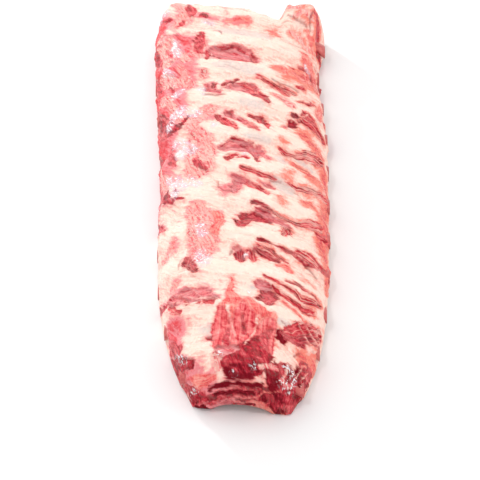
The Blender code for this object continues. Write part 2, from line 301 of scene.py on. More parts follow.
# %% Kinds of bare muscle
# tone: 0 pale to 1 dark; marble: how much fat is in it; warm: towards orange; wet: how moist;
# sink: millimetres below the fat; film: how much milky membrane lies over it;
# grain: 0 for fibres along the stroke, 1 for crumbs, 2 for coarse strands along the rack
KINDS = {
    "dusky": dict(tone=0.47, marble=0.25, warm=0.0, wet=0.35, sink=1.3, film=0.60, grain=0),
    # the deep kind: dark red muscle; its thin strokes along the edges of paler patches are painted shade
    # under the fat's edge
    "deep_and_shade": dict(tone=0.7, marble=0.25, warm=0.1, wet=0.40, sink=1.6, film=0.15, grain=0),
    "lean": dict(tone=0.58, marble=0.40, warm=0.35, wet=0.30, sink=1.0, film=0.10, grain=0),
    "streaky": dict(tone=0.60, marble=0.75, warm=0.4, wet=0.35, sink=0.8, film=0.10, grain=0),
    "rosy": dict(tone=0.27, marble=0.55, warm=0.3, wet=0.45, sink=-0.1, film=0.15, grain=1),
    "frayed": dict(tone=0.36, marble=0.65, warm=0.15, wet=0.60, sink=0.2, film=0.15, grain=1),
    "coral": dict(tone=0.28, marble=0.25, warm=0.8, wet=0.35, sink=-0.2, film=0.0, grain=0),
    "raw": dict(tone=0.6, marble=0.1, warm=0.1, wet=0.60, sink=0.3, film=0.0, grain=1),
    "tongue": dict(tone=0.38, marble=0.22, warm=0.35, wet=0.35, sink=-0.3, film=0.0, grain=2),
    "crimson": dict(tone=0.78, marble=0.05, warm=0.1, wet=0.75, sink=0.2, film=0.0, grain=1),
    "side": dict(tone=0.62, marble=0.3, warm=0.0, wet=0.55, sink=0.2, film=0.0, grain=1),
    "blood": dict(tone=0.92, marble=0.0, warm=0.0, wet=0.80, sink=0.8, film=0.0, grain=1),
    # the maroon kind: the darkest muscle, darkened further with painted shade in the layers under the
    # overhang
    "maroon_and_shade": dict(tone=1.08, marble=0.0, warm=0.0, wet=0.70, sink=0.5, film=0.0, grain=0),
    "flap": dict(tone=0.62, marble=0.1, warm=0.3, wet=0.60, sink=-2.2, film=0.0, grain=1),
}

MUSCLES = [
    # the strip past the last rib
    ("rosy", (-56, 212, 4), (-50, 206, 6), (-44, 200, 5), (-50, 192, 6), (-54, 182, 5), (-57, 174, 3)),
    ("raw", (-46, 213, 1.5), (-44, 206, 4.2), (-44, 200, 4.2)),
    ("raw", (-34, 197, 2.4), (-32, 196, 2)),
    ("raw", (-50, 191, 2.2), (-52, 184, 3.2), (-54, 178, 2)),
    ("raw", (-72, 195, 1.6), (-68, 190, 2.8), (-63, 189, 2)),
    ("coral", (-14, 192, 0.8), (-8, 194.5, 1.4), (0, 198, 1.4), (4, 197, 1.8)),
    ("coral", (24, 189, 1.2), (28, 184, 1.6), (31, 180, 0.8)),
    ("rosy", (44, 204, 1.5), (52, 208, 2.5), (60, 206, 2)),
    ("rosy", (34, 212, 1.2), (42, 213, 2.4), (50, 214, 1.6)),
    ("rosy", (40, 190, 1), (50, 188, 2.4), (60, 184, 2)),
    ("coral", (58, 196, 1.2), (64, 192, 2.4), (68, 186, 2)),
    ("raw", (64, 212, 1.5), (69, 206, 3), (72, 198, 3)),
    # between the ribs, from the wide end to the narrow one
    # the thin deep strokes along the edges of these patches are painted shade under the fat's edge
    ("dusky", (-26, 148, 3), (-17, 145, 9), (-7, 146, 11), (2, 144, 9.5), (8, 141, 6.5)),
    ("dusky", (-20, 138, 5), (0, 138, 6.5), (8, 137, 4.5)),
    ("lean", (-6, 137, 4), (3, 137, 4.6)),
    ("deep_and_shade", (-19, 137, 2.6), (-18, 133.5, 1.8)),
    ("deep_and_shade", (-18, 151, 1.2), (-8, 154.5, 1.5), (2, 151, 1.6)),
    ("deep_and_shade", (8, 148, 2.2), (10.5, 142, 2.6), (10.5, 135.5, 1.8)),
    ("deep_and_shade", (-28, 146, 0.8), (-27.5, 138, 0.9)),
    ("dusky", (-28, 98, 4), (-26, 90, 5.5), (-19, 86, 3)),
    ("deep_and_shade", (-23, 102, 1.8), (-22.5, 96, 1.7)),
    ("deep_and_shade", (-28, 93, 1.5), (-27, 88, 1.2)),
    ("dusky", (-9, 96, 5), (-4, 98, 7.5), (4, 99, 8.5)),
    ("deep_and_shade", (-15, 95, 2), (-13.5, 102, 1.8), (-8, 106, 1.1), (-4, 109, 0.8)),
    ("lean", (3, 104, 3.6), (8, 100, 4), (10, 93, 4)),
    ("deep_and_shade", (7, 93, 3), (12, 90, 4), (17, 86, 3.4), (20, 81, 1.6)),
    ("deep_and_shade", (-20, 57, 3.8), (-17.5, 52, 3)),
    ("lean", (-15, 51, 4), (-11, 46, 4), (-5, 42, 2)),
    ("dusky", (-11.5, 63, 3), (-9, 61, 3)),
    ("deep_and_shade", (-12.5, 65, 1.2), (-9, 65, 1.2), (-8, 60, 1)),
    ("dusky", (-3, 57, 3.8), (1, 53, 3)),
    ("lean", (3, 51, 3.2), (8, 46.5, 2.6), (13, 42.5, 0.8)),
    ("lean", (7, 65, 1.6), (14, 63, 3.8), (18, 57, 3.8), (20, 49, 1.5)),
    ("deep_and_shade", (10, 65.5, 1.1), (16, 64, 1.4), (19, 57, 1)),
    ("deep_and_shade", (-9, 30, 0.8), (0, 28.5, 1.7), (8, 28.5, 1)),
    ("dusky", (-13, 20, 5), (-9, 24, 5), (0, 24, 5.5), (8, 20, 5.5), (10, 11, 3), (11, 6, 1.4)),
    ("deep_and_shade", (-2, 26, 1.2), (4, 23, 2), (8, 14, 2.4), (11, 5, 1.5)),
    ("dusky", (12, 23, 3.6), (17, 16, 4.2), (20, 9, 1.6)),
    ("lean", (-12, 1, 2.2), (-8, 5, 3), (-5, 9, 1.8)),
    ("lean", (-3, 4, 0.8), (2, 8, 1.2), (4, 4, 0.8)),
    ("lean", (1, -6.5, 2.4), (9, -7.5, 2.2), (17, -9.5, 1.6), (26, -11, 0.5)),
    ("dusky", (14, -15, 0.8), (20, -17, 1.7), (25, -20, 0.8)),
    ("dusky", (-6, -15, 2), (2, -18, 3.6), (6, -20, 3)),
    ("lean", (4, -19, 2.6), (11, -22, 3.2)),
    ("deep_and_shade", (13, -23, 2.8), (18, -28, 2.6), (20, -32, 1.4)),
    ("dusky", (-2, -22, 4.6), (-5, -29, 4.8), (-5, -35, 2.8)),
    ("deep_and_shade", (8, -45.5, 1.8), (14, -47, 1.8), (22, -50, 0.9)),
    ("dusky", (12, -53, 1.6), (22, -57, 3.2), (32, -59, 2.8), (38, -61, 1.2)),
    ("deep_and_shade", (-5, -66, 2.6), (-1, -71, 4.6), (3, -66, 3.8)),
    ("deep_and_shade", (2, -61, 3.8), (9, -58, 3.8), (16, -60, 3.8), (22, -60, 2)),
    ("streaky", (32, -64, 1.6), (33, -70, 2.2), (31, -77, 1.2)),
    ("streaky", (36, -63, 1.2), (37, -69, 1)),
    ("deep_and_shade", (12, -87, 1.6), (20, -87.5, 1.4), (30, -90, 1), (40, -92, 1.3)),
    ("dusky", (-4, -98, 2.8)),
    ("deep_and_shade", (-2, -102, 3.6), (-1, -108, 3.6), (0, -113, 2.2)),
    ("lean", (6, -98, 2.4), (8, -104, 4), (9, -109, 3)),
    ("deep_and_shade", (9, -95, 1.5), (16, -98, 3), (24, -101, 3), (28, -103, 2)),
    ("streaky", (12, -92, 1), (24, -96, 2), (34, -101, 1.2)),
    ("dusky", (13, -136, 3), (18, -136, 3.6)),
    ("deep_and_shade", (17, -142, 3), (22, -145, 5.2), (18, -151, 5.8), (13, -152, 3)),
    # on the right
    ("coral", (54, 168, 4), (58, 158, 6), (62, 148, 7), (64, 138, 7)),
    ("coral", (43, 134, 3), (50, 130, 4)),
    ("coral", (33, 137, 2.5), (34, 130, 2.5)),
    ("lean", (50, 150, 1.6), (57, 152, 1.2)),
    ("lean", (40, 144, 1), (43, 145, 1.2)),
    ("lean", (61, 151, 2.2), (64, 144, 1.6)),
    ("lean", (45, 116, 2), (50, 118, 2.4)),
    ("streaky", (12, 115, 1.2), (20, 112, 1.5), (28, 109, 2.6), (38, 104, 1.6)),
    ("streaky", (30, 112, 0.7), (44, 107, 0.8)),
    ("rosy", (26, 98, 2.4), (31, 92, 4), (38, 85, 3)),
    ("streaky", (26, 97, 1), (33, 90, 1.2)),
    ("lean", (45, 98, 0.5), (55, 104, 1.0), (64, 112, 0.6)),
    ("coral", (72, 112, 3), (69, 102, 4), (66, 94, 3)),
    ("deep_and_shade", (41, 65, 3.8)),
    ("deep_and_shade", (43, 74, 3.4), (45, 73, 3)),
    ("lean", (52, 82, 5), (59, 81, 3.6)),
    ("dusky", (35, 60, 2)),
    ("streaky", (49, 74, 3), (60, 74, 4.2), (71, 73, 3.6)),
    ("streaky", (30, 28, 0.9), (36, 25, 1.9), (44, 27, 2.2), (52, 31, 4), (60, 35, 5.6), (66, 36, 3)),
    ("streaky", (33, -10, 0.9), (43, -12.5, 1.6), (52, -9, 3.0), (62, -6, 3.6), (72, -3, 2.4)),
    ("streaky", (24, -52, 0.6), (36, -55, 1.3), (46, -54, 2.2), (54, -49, 4.2), (63, -45, 3.4)),
    ("lean", (61, -53, 2.4), (70, -50, 2.6)),
    ("streaky", (40, -88, 1.8), (50, -87, 4.6), (58, -89, 4)),
    ("deep_and_shade", (40, -93, 1.1), (50, -95, 1.5), (58, -91, 1)),
    ("lean", (64, -88, 2.8), (72, -85, 2.4)),
    ("coral", (29, -108, 2.6), (35, -107, 2.8), (35, -113, 1.4)),
    ("streaky", (17, -128, 0.9), (25, -129.5, 1.2), (33, -132, 1), (44, -135, 1.9), (56, -131, 1.5),
     (64, -127, 1)),
    ("streaky", (23, -134, 0.9), (28, -140, 1.5), (36, -142, 2), (46, -142.5, 3.4), (57, -139, 2.4)),
    ("lean", (33, -126, 0.9), (47, -126, 1.3), (62, -124, 1.1)),
    ("streaky", (69, -149, 4), (59, -157, 8), (49, -165, 8.5), (39, -173, 7), (31, -179, 3.4)),
    ("deep_and_shade", (66, -154, 1.6), (52, -168, 3.4), (40, -177, 3.4), (31, -181, 2)),
    ("coral", (30, -148, 1.2), (40, -152, 1.6), (48, -156, 1)),
    ("blood", (27, -178, 2.4), (30, -183, 3.8)),
    ("deep_and_shade", (28, -177, 1.2), (40, -178.5, 1.2), (50, -175, 1.6)),
    # painted shade under the flap, drawn as a dusky stroke
    ("dusky", (76, 158, 4), (78, 152, 4)),
    ("flap", (74, 192, 1.6), (80, 192, 3), (85, 189, 3)),
    ("flap", (82, 156, 3), (86, 152, 3.4)),
    # painted shade on the right wall, drawn as a dusky stroke
    ("dusky", (80, 98, 7), (86, 84, 6)),
    # the raw left side, and the long frayed muscle on the left
    ("side", (-103, 196, 7), (-96, 176, 10), (-90, 160, 9), (-82, 146, 6)),
    ("side", (-96, 136, 9), (-86, 124, 8), (-78, 112, 6)),
    ("side", (-94, 92, 9), (-82, 76, 9), (-74, 60, 8), (-66, 46, 6)),
    ("side", (-90, 42, 6), (-84, 28, 6), (-76, 18, 4)),
    ("side", (-88, 4, 6), (-82, -12, 6), (-74, -26, 5), (-66, -36, 4)),
    ("side", (-84, -186, 7), (-72, -194, 8), (-58, -203, 7), (-46, -208, 5)),
    ("raw", (-101, 186, 4), (-92, 172, 5), (-82, 158, 5), (-74, 142, 3.4), (-63, 123, 2.6)),
    ("crimson", (-98, 184, 4), (-90, 170, 5), (-83, 156, 5), (-76, 142, 4)),
    ("crimson", (-88, 130, 3), (-80, 118, 4), (-72, 106, 3)),
    ("raw", (-86, 126, 3), (-78, 116, 6), (-68, 109, 5), (-62, 106, 3)),
    ("frayed", (-72, 165, 6), (-66, 152, 9), (-60, 138, 9), (-62, 126, 6)),
    ("raw", (-64, 148, 2.4), (-60, 138, 2.8)),
    ("raw", (-70, 158, 2), (-76, 164, 2)),
    ("frayed", (-50, 140, 4), (-48, 128, 4)),
    ("rosy", (-36, 159, 4.5), (-38, 148, 6), (-37, 138, 5)),
    ("raw", (-35, 165, 3), (-37, 157, 4.6), (-38, 149, 4.6), (-34, 143, 2.4)),
    ("raw", (-31, 146, 1.2), (-29.5, 140, 1.9), (-28.5, 132, 1.4)),
    ("frayed", (-70, 116, 4), (-62, 106, 7), (-54, 100, 6)),
    ("frayed", (-50, 104, 6), (-45, 98, 6)),
    ("raw", (-60, 98, 2), (-56, 88, 2.2)),
    ("rosy", (-50, 118, 3), (-46, 110, 4)),
    ("frayed", (-31, 115, 2.4), (-32, 110, 3.2)),
    ("raw", (-96, 84, 5), (-84, 78, 5), (-74, 62, 8), (-66, 47, 8), (-59, 37, 3)),
    ("frayed", (-70, 88, 5), (-60, 78, 5), (-56, 68, 4)),
    ("frayed", (-54, 58, 5), (-50, 50, 4)),
    ("crimson", (-90, 88, 4), (-79, 74, 5.5), (-69, 60, 6.5), (-60, 48, 6), (-55, 41, 3)),
    ("side", (-76, 76, 1.2), (-66, 62, 1.6), (-58, 52, 1)),
    ("crimson", (-56, 37, 2.8), (-52, 40, 4), (-46, 43, 4), (-43, 50, 2.4), (-42, 56, 1.4)),
    ("rosy", (-24, 68, 3.8), (-30, 61, 6), (-37, 50, 6), (-42, 40, 5)),
    ("frayed", (-24, 68, 2), (-30, 63, 2)),
    ("raw", (-84, 30, 3), (-74, 18, 4), (-66, 8, 3)),
    ("frayed", (-36, 34, 6), (-32, 24, 9.5), (-31, 10, 11), (-32, -4, 11), (-37, -15, 7)),
    ("rosy", (-28, 26, 4), (-26, 12, 5), (-27, 0, 4)),
    ("raw", (-36, -1, 3), (-32, -6, 4), (-29, -10, 2.6)),
    ("dusky", (-39, 16, 1.6), (-38, 8, 1.6)),
    ("raw", (-58, 18, 2), (-56, 8, 2.6), (-53, 0, 3.8), (-52, -4, 2.2)),
    ("rosy", (-70, 14, 4), (-72, -4, 5), (-66, -24, 4)),
    ("raw", (-86, -2, 3), (-78, -16, 4), (-70, -28, 4)),
    ("rosy", (-64, -12, 4), (-56, -17, 3), (-50, -20, 2)),
    ("crimson", (-61, -30, 2.6), (-59, -40, 4.4), (-54, -46, 2), (-46, -45, 1.2)),
    ("deep_and_shade", (-52, -34, 1.4), (-48, -40, 1.4)),
    ("raw", (-90, -42, 2), (-74, -60, 3.4), (-60, -75, 1.2)),
    ("rosy", (-34, -57, 7), (-31, -66, 9.5), (-30, -78, 10), (-28, -92, 11), (-30, -104, 9)),
    ("frayed", (-34, -64, 4), (-33, -74, 4.5)),
    ("frayed", (-36, -86, 3), (-34, -100, 4)),
    ("coral", (-18, -63, 4.5), (-16, -72, 4.5), (-20, -84, 4)),
    ("frayed", (-31, -106, 7), (-31, -115, 5)),
    ("rosy", (-51, -92, 1.2), (-54, -99, 1.8), (-60, -106, 3)),
    ("deep_and_shade", (-38, -114, 1.6), (-39, -121, 4.4), (-33, -127, 2.4)),
    ("rosy", (-48, -136, 2), (-52, -142, 2)),
    ("raw", (-84, -136, 1.4), (-74, -144, 2), (-62, -150, 1.6)),
    ("dusky", (-58, -149, 3), (-50, -153, 6.5), (-38, -152, 9), (-27, -151, 8), (-20, -156, 4)),
    ("lean", (-57, -156, 1.6), (-49, -163, 2.2), (-43, -167, 1.4)),
    ("lean", (-46, -150, 1.2), (-40, -157, 1.6), (-38, -162, 1)),
    ("lean", (-29, -163, 2), (-21, -163, 2.4)),
    ("deep_and_shade", (-22, -154, 1.8), (-18.5, -158, 1.4)),
    ("raw", (-68, -180, 3), (-57, -187, 5), (-48, -194, 4)),
    ("crimson", (-78, -186, 4), (-62, -195, 5), (-48, -203, 4.6), (-35, -210, 2.8)),
    ("deep_and_shade", (-50, -211, 1.2), (-46, -212, 1.2)),
    ("deep_and_shade", (-24, -193, 0.9), (-18, -194, 1.3)),
    # the muscle that runs out at the narrow end
    ("coral", (-7, -134, 1), (-7, -146, 2.4), (-6, -156, 5), (-6, -170, 10)),
    ("coral", (6, -158, 4), (8, -168, 12)),
    ("coral", (21, -168, 4), (18, -178, 7)),
    ("tongue", (-13, -170, 4), (-12, -182, 8), (-11, -196, 9.5)),
    ("tongue", (2, -162, 3), (3, -172, 8), (2, -184, 10), (0, -198, 9)),
    ("tongue", (20, -174, 5), (16, -186, 8.5), (12, -198, 9)),
    ("raw", (21, -178, 1.6), (16, -188, 4), (12, -198, 7)),
    ("crimson", (11, -188, 1.6), (9, -197, 5), (5, -204, 9)),
    ("raw", (-9, -184, 1.2), (-9, -198, 3)),
    ("raw", (2, -172, 1), (2, -186, 1.8)),
    ("frayed", (-16, -207, 3), (-15, -215, 3)),
    ("dusky", (-14, -203, 4), (-9, -206, 6), (-4, -204, 4.5)),
    ("crimson", (-9, -213, 5), (0, -212, 7.5), (9, -210, 8.5), (15, -206, 7)),
    ("blood", (-8, -219, 4), (1, -218, 5.4), (10, -216, 4.6)),
    ("crimson", (22, -214, 6), (34, -212, 8), (46, -206, 8), (58, -198, 7)),
    ("raw", (50, -194, 5), (62, -190, 5)),
    ("raw", (28, -207, 2.4), (34, -213, 3)),
    ("blood", (19, -219, 3), (27, -219, 3)),
    ("blood", (36, -206, 1.8), (42, -200, 2.2)),
    ("blood", (46, -210, 2), (54, -205, 2.4)),
    ("frayed", (14, -214, 1.6), (18, -212, 1.8), (24, -211, 2)),
    ("frayed", (30, -215, 2), (37, -216, 2.2)),
    # the layers on the narrow cut; the maroon bands are dark muscle with painted shade under the
    # overhanging layers
    ("raw", (-54, -224, 3), (-40, -230, 6), (-26, -236, 5), (-12, -236, 5), (6, -234, 6), (20, -232, 8)),
    ("crimson", (20, -232, 7), (34, -228, 9), (46, -222, 8), (56, -212, 6)),
    ("coral", (-34, -220, 4), (-24, -222, 3), (-18, -221, 2)),
    ("maroon_and_shade", (-24, -227.6, 1.4), (-12, -227.2, 2.0), (0, -227.4, 2.1), (9, -226.4, 1.9),
     (14, -224.5, 1.4)),
    ("maroon_and_shade", (-22, -233.6, 1.6), (-8, -234.6, 2.4), (4, -234.2, 2.2), (10, -232.6, 1.6)),
    ("crimson", (-30, -233, 2.6), (-24, -236, 3)),
    ("crimson", (-50, -222.5, 3.4), (-40, -227, 4.6), (-30, -230.5, 2.6)),
    ("raw", (-58, -213, 1.2), (-46, -219, 1.4), (-36, -224, 1.2), (-29, -228, 1)),
    ("maroon_and_shade", (-50, -231, 4), (-40, -238, 4), (-35, -243, 2.6)),
    ("dusky", (-20, -245, 2.6), (-10, -245, 3)),
    ("deep_and_shade", (-4, -242.5, 1.8), (3, -242.5, 2)),
    ("raw", (-8, -248.5, 1.6), (0, -249, 2), (6, -248.5, 1.6)),
    ("blood", (7, -245.5, 3), (13, -245, 2.4)),
    ("maroon_and_shade", (17, -231, 1.4), (20, -234, 2.2), (23, -236.5, 1.4)),
    ("blood", (22, -224, 2), (32, -226, 4.6), (42, -229, 5)),
    ("crimson", (44, -218, 4), (54, -212, 5), (60, -206, 4)),
    ("raw", (40, -230, 3), (48, -227, 4), (54, -223, 3)),
    ("blood", (30, -236, 3), (40, -238, 3)),
]
print(len(MUSCLES), "strokes of muscle in", len(KINDS), "kinds")

# %% [markdown]
# ## Fat seams, soft tints and bone
#
# Five more sets of strokes lie over the muscles. Seams are thin cords of fat and sinew that
# cross bare muscle. Tints are soft: where blood has stained the fat it turns rose, and where
# muscle lies just under it the fat turns peach. Windows are the places where the knife went down
# to a rib, and its grey skin shines through. Glitter marks wet membrane, and the white flecks
# and lavender sheen on it are painted highlights. Clefts are thin gaps between two pieces of
# meat, dipped in the relief and darkened with painted shade.

# %% Seams, tints, windows, glitter and clefts
SEAMS = [
    [(-16, 86, 0.5), (-17, 94, 1.2), (-12, 98, 0.8), (-9, 104, 0.5)],
    [(-14, 9, 0.8), (-6, 14, 2.6), (2, 13, 2.8), (7, 6, 1.8)],
    [(0, -24, 0.8), (6, -30, 3.2), (8, -36, 3.5)],
    [(8, -64, 0.8), (10, -70, 3.0)],
    [(5, -99, 0.6), (4.5, -106, 0.9), (5, -113, 0.8)],
    [(25, -132, 0.4), (30, -137, 0.6), (44, -139, 0.7), (58, -134, 0.6)],
    [(14, -93, 0.4), (26, -99, 0.5), (34, -104, 0.6)],
    [(-48, -148, 0.5), (-34, -157, 0.6), (-17, -159, 0.6)],
    [(-34, -148, 0.4), (-28, -156, 0.5), (-27, -168, 0.5)],
    [(-54, -153, 0.5), (-40, -161, 0.5), (-28, -166, 0.6)],
    [(-9, -164, 1.6), (-7, -178, 0.7), (-4, -192, 0.7)],
    [(12, -170, 1.0), (9, -184, 0.6), (3, -198, 0.6)],
    [(27, -186, 1.2), (24, -198, 1.0), (21, -208, 0.6)],
    [(40, -196, 0.7), (34, -203, 0.7), (30, -212, 0.5)],
    [(52, -190, 0.8), (44, -199, 0.6), (40, -208, 0.5)],
    [(40, 68, 0.5), (48, 75, 0.5), (54, 87, 0.6)],
    [(48, 62, 0.6), (58, 70, 0.7), (70, 70, 0.6)],
    [(48, 24, 0.5), (58, 29, 0.5), (70, 31, 0.6)],
    [(44, -158, 0.5), (56, -166, 0.6), (66, -162, 0.5)],
    [(40, -164, 0.5), (52, -171, 0.6), (64, -169, 0.5)],
    [(48, -154, 0.4), (58, -159, 0.5), (68, -156, 0.4)],
    # the fat between the layers of muscle on the narrow cut
    [(-22, -224.0, 0.8), (-12, -223.4, 0.9), (-7, -224.4, 0.8), (0, -223.8, 0.9), (7, -222.6, 0.8),
     (12, -220.4, 0.8), (16, -219.2, 0.6)],
    [(-28, -230.4, 0.3), (-12, -231.0, 0.35), (2, -231.2, 0.3), (10, -229.8, 0.2)],
    [(-26, -242, 0.8), (-14, -240.5, 0.9), (0, -238.6, 0.9), (10, -236.6, 0.8), (14, -233, 0.7),
     (16, -229.6, 0.7)],
    [(16, -229.6, 0.7), (20, -228, 0.6), (25, -224, 0.5), (31, -221, 0.5)],
    [(18, -238, 1.8), (22, -240, 2.6), (25, -241, 2)],
    [(-33, -238, 1.4), (-29, -243, 2.4), (-24, -247, 2.6)],
    [(-48, -228, 0.4), (-40, -232.5, 0.5), (-30, -235, 0.5)],
    [(10, -242, 0.5), (16, -243, 0.6)],
    [(34, -196, 0.5), (38, -204, 0.7), (35, -212, 0.4)],
    [(56, -192, 0.6), (50, -202, 0.6), (48, -210, 0.4)],
    [(64, -196, 0.5), (58, -204, 0.5), (58, -212, 0.4)],
]

TINTS = [
    [(72, 30, 4), (78, 0, 6), (72, -30, 9), (70, -60, 9), (76, -92, 4)],
    [(46, -28, 2), (58, -24, 4), (66, -30, 4)],
    [(40, 14, 4), (52, 10, 5), (64, 8, 6)],
    [(52, 56, 6), (64, 50, 7)],
    [(45, 130, 8), (58, 138, 10)],
    [(26, 187, 1), (22, 178, 0)],
    [(-14, 204, -2), (-16, 214, -2)],
    [(-33, 197, 0), (-22, 194, -1)],
    [(-14, 194, -1), (-6, 196, 0), (3, 197, 0)],
    [(-50, -238, 12), (0, -240, 13), (50, -234, 13)],
    [(44, -118, -2), (56, -112, -2)],
    [(-38, -214, 3), (-26, -208, 0)],
    [(-29, 54, 5)],
    [(29, -34, 2), (31, -40, 2)],
    [(35, -4, 2), (38, 3, 2)],
    [(32, 37, 2.4)],
    [(30, 132, 6), (38, 128, 7)],
    [(66, -50, 5), (72, -52, 4)],
    [(-12, -36, 5), (-8, -28, 4)],
    [(-50, 150, 14), (-54, 120, 16), (-58, 90, 15), (-64, 55, 13), (-66, 15, 12), (-70, -15, 9)],
    [(-84, 190, 16), (-90, 120, 18), (-90, 60, 18), (-88, 10, 14), (-84, -20, 8)],
    [(70, 208, 5), (72, 196, 4)],
    [(50, 208, -1), (56, 202, -1)],
    [(-46, -176, 6), (-60, -176, 8)],
    [(50, -185, 5), (66, -178, 4)],
    [(-36, -214, 7), (-50, -206, 6)],
]

WINDOWS = [
    [(-16, 177, 5), (0, 178, 7.5), (16, 177, 8)],
    [(-22, 124, 3), (-8, 124, 6), (10, 122, 5)],
    [(2, 78, 4), (14, 76, 4)],
    [(4, 35, 3), (20, 34, 3)],
    [(28, 17, 4), (32, 12, 4)],
    [(26, -13, 4), (36, -18, 5)],
    [(-26, -184, 3.4), (-21, -185, 5)],
    [(28, -169, 2.6), (36, -171, 3.4)],
    [(8, -140, 2.6)],
    [(44, 24, 2), (58, 21, 2.4)],
]

# wet membrane: its relief, coat and smoothness are real, its white flecks and lavender sheen are painted
# highlights
GLITTER = [
    [(-56, 60, 4), (-48, 62, 7), (-38, 60, 5)],
    [(-58, 50, 4), (-57, 42, 2)],
    [(-50, 22, 6), (-42, 16, 7), (-47, 4, 4)],
    [(-62, -14, 2), (-54, -22, 6), (-47, -30, 6), (-52, -42, 3)],
    [(-40, -22, 4), (-34, -30, 4)],
    [(-31, -79, 3), (-29, -86, 4)],
    [(-30, -104, 3), (-28, -112, 5), (-27, -121, 4)],
    [(-22, 43, 2.4)],
    [(-58, -192, 0), (-50, -198, 2), (-38, -205, 1)],
    [(6, -147, 2.4)],
    [(-15, -205, 2)],
    [(-5, -219, 1)],
    [(9, -213, 1.6)],
    [(30, -216, 2), (37, -215, 4)],
    [(34, -206, 3), (42, -210, 2)],
    [(-49, -221, 0.5), (-36, -225, 0.7)],
    [(-78, 196, 4), (-66, 204, 3)],
    [(-56, 154, 3), (-54, 144, 4), (-55, 136, 2)],
    [(-64, 118, 3), (-58, 112, 2)],
    [(-48, 88, 2), (-54, 80, 2)],
    [(-34, 92, 2), (-31, 85, 2)],
    [(-32, 190, 2.4), (-26, 188, 2)],
    [(2, 12, 2)],
    [(4, -102, 1.6)],
    [(56, 156, 1.6), (60, 152, 1.2)],
]

# clefts: thin gaps that dip in the relief and are darkened with painted shade
SHADED_CLEFTS = [
    [(-18, -21, 0.4), (-18, -29, 0.7), (-14, -35, 0.7), (-6, -37, 0.5)],
    [(-31, 82, 0.5), (-22, 81.5, 0.6), (-14, 83.5, 0.5)],
    [(-56, 84, 0.6), (-50, 79, 0.6)],
    [(-66, 167, 0.5), (-60, 164, 0.7), (-54, 163, 0.5)],
    [(-60, 130, 0.7), (-56, 126, 0.6)],
    [(-8, -100, 0.8), (-9, -104, 0.6)],
    [(24, 116, 0.5), (38, 113, 0.6), (46, 111, 0.5)],
    [(28, -168, 0.5), (36, -172, 0.6)],
    [(58, 88, 0.6), (66, 84, 0.7), (74, 76, 0.6)],
    [(60, 175, 0.5), (66, 166, 0.7), (74, 162, 0.7)],
    [(56, 199, 0.7), (48, 201, 0.8), (38, 205, 0.6)],
    [(62, 210, 0.6), (58, 204, 0.7), (60, 198, 0.5)],
    [(-30, 190, 0.6), (-27, 186, 0.5)],
    [(-20, 175, 0.9), (-18, 168, 0.6)],
    [(-14, 6, 0.5), (-10, 9, 0.5)],
    [(22, -13, 0.5), (30, -12, 0.5)],
    [(30, -60, 0.6), (40, -66, 0.5)],
    [(-45, -116, 0.5), (-46, -124, 0.5)],
    [(-40, -202, 0.7), (-32, -208, 0.7)],
    [(40, -190, 0.6), (46, -184, 0.5)],
    [(44, 12, 0.5), (56, 16, 0.5)],
    [(48, -96, 0.6), (60, -99, 0.5)],
]


def stroke_field(path, a, v):
    """Signed depth inside a stroke in mm, and the place along and across it."""
    depth = np.full(a.shape, -99.0)
    run, side = np.zeros(a.shape), np.zeros(a.shape)
    path = [path[0], path[0]] if len(path) == 1 else path
    travelled = 0.0
    for (a0, v0, r0), (a1, v1, r1) in zip(path, path[1:]):
        da, dv = a1 - a0, v1 - v0
        length = max(math.hypot(da, dv), 1e-6)
        t = np.clip(((a - a0) * da + (v - v0) * dv) / length**2, 0, 1)
        here = r0 + (r1 - r0) * t - np.hypot(a - a0 - t * da, v - v0 - t * dv)
        inside = here > depth
        depth = np.where(inside, here, depth)
        run = np.where(inside, travelled + ((a - a0) * da + (v - v0) * dv) / length, run)
        side = np.where(inside, ((a - a0) * dv - (v - v0) * da) / length, side)
        travelled += length
    return depth, run, side


def deepest(paths, a, v):
    """The greatest depth in any of several strokes."""
    return np.max([stroke_field(path, a, v)[0] for path in paths], axis=0)


def grain_shift(a):
    """How far along the rack the natural grain of the fat drifts on its way across."""
    return -0.15 * a + 0.5 * np.maximum(a - 45, 0) + 0.85 * np.maximum(-50 - a, 0)


drawn_a = map_a + 1.5 * layered(map_a, map_v, 9, 11) + 0.6 * layered(map_a, map_v, 3.2, 12)
drawn_v = map_v + 1.4 * layered(map_a, map_v, 9, 21) + 0.5 * layered(map_a, map_v, 3.2, 22)
grain = np.stack([map_a, map_v - grain_shift(map_a), 0 * map_a], axis=-1)
streaks = noise(grain[..., 1], grain[..., 0], 1.9, 25, 5.0)
near_middle = np.exp(-(((map_a - 3) / 24) ** 4))
lengthwise = near_middle * (1 - smooth(-160, -148, map_v)) * smooth(-224, -216, map_v)
streaks += (noise(map_a, map_v, 2.2, 26, 5.0) - streaks) * lengthwise
lean = np.full(map_a.shape, -30.0)
traits = {key: np.zeros(map_a.shape) for key in KINDS["lean"]}
fibre = np.zeros(map_a.shape + (3,))
crumbs = np.stack([1.7 * map_v, 0.5 * map_a + 0.2 * map_v, 0 * map_a], axis=-1)
cords_along = np.stack([0.4 * map_v, 0.55 * map_a - 0.04 * (map_v + 190), 0 * map_a], axis=-1)
for number, (kind, *path) in enumerate(MUSCLES):
    depth, run, side = stroke_field(path, drawn_a, drawn_v)
    over = np.where(depth > lean, 1.0, smooth(-0.4, 0.9, depth))  # later strokes lie over earlier ones
    lean = np.maximum(lean, depth)
    for key, value in KINDS[kind].items():
        traits[key] += (value - traits[key]) * over
    coords = np.stack([run, side, np.full(run.shape, 17.0 * number)], axis=-1)
    fibre = np.where(over[..., None] > 0.5, (coords, crumbs, cords_along)[KINDS[kind]["grain"]], fibre)

rng = np.random.default_rng(77)
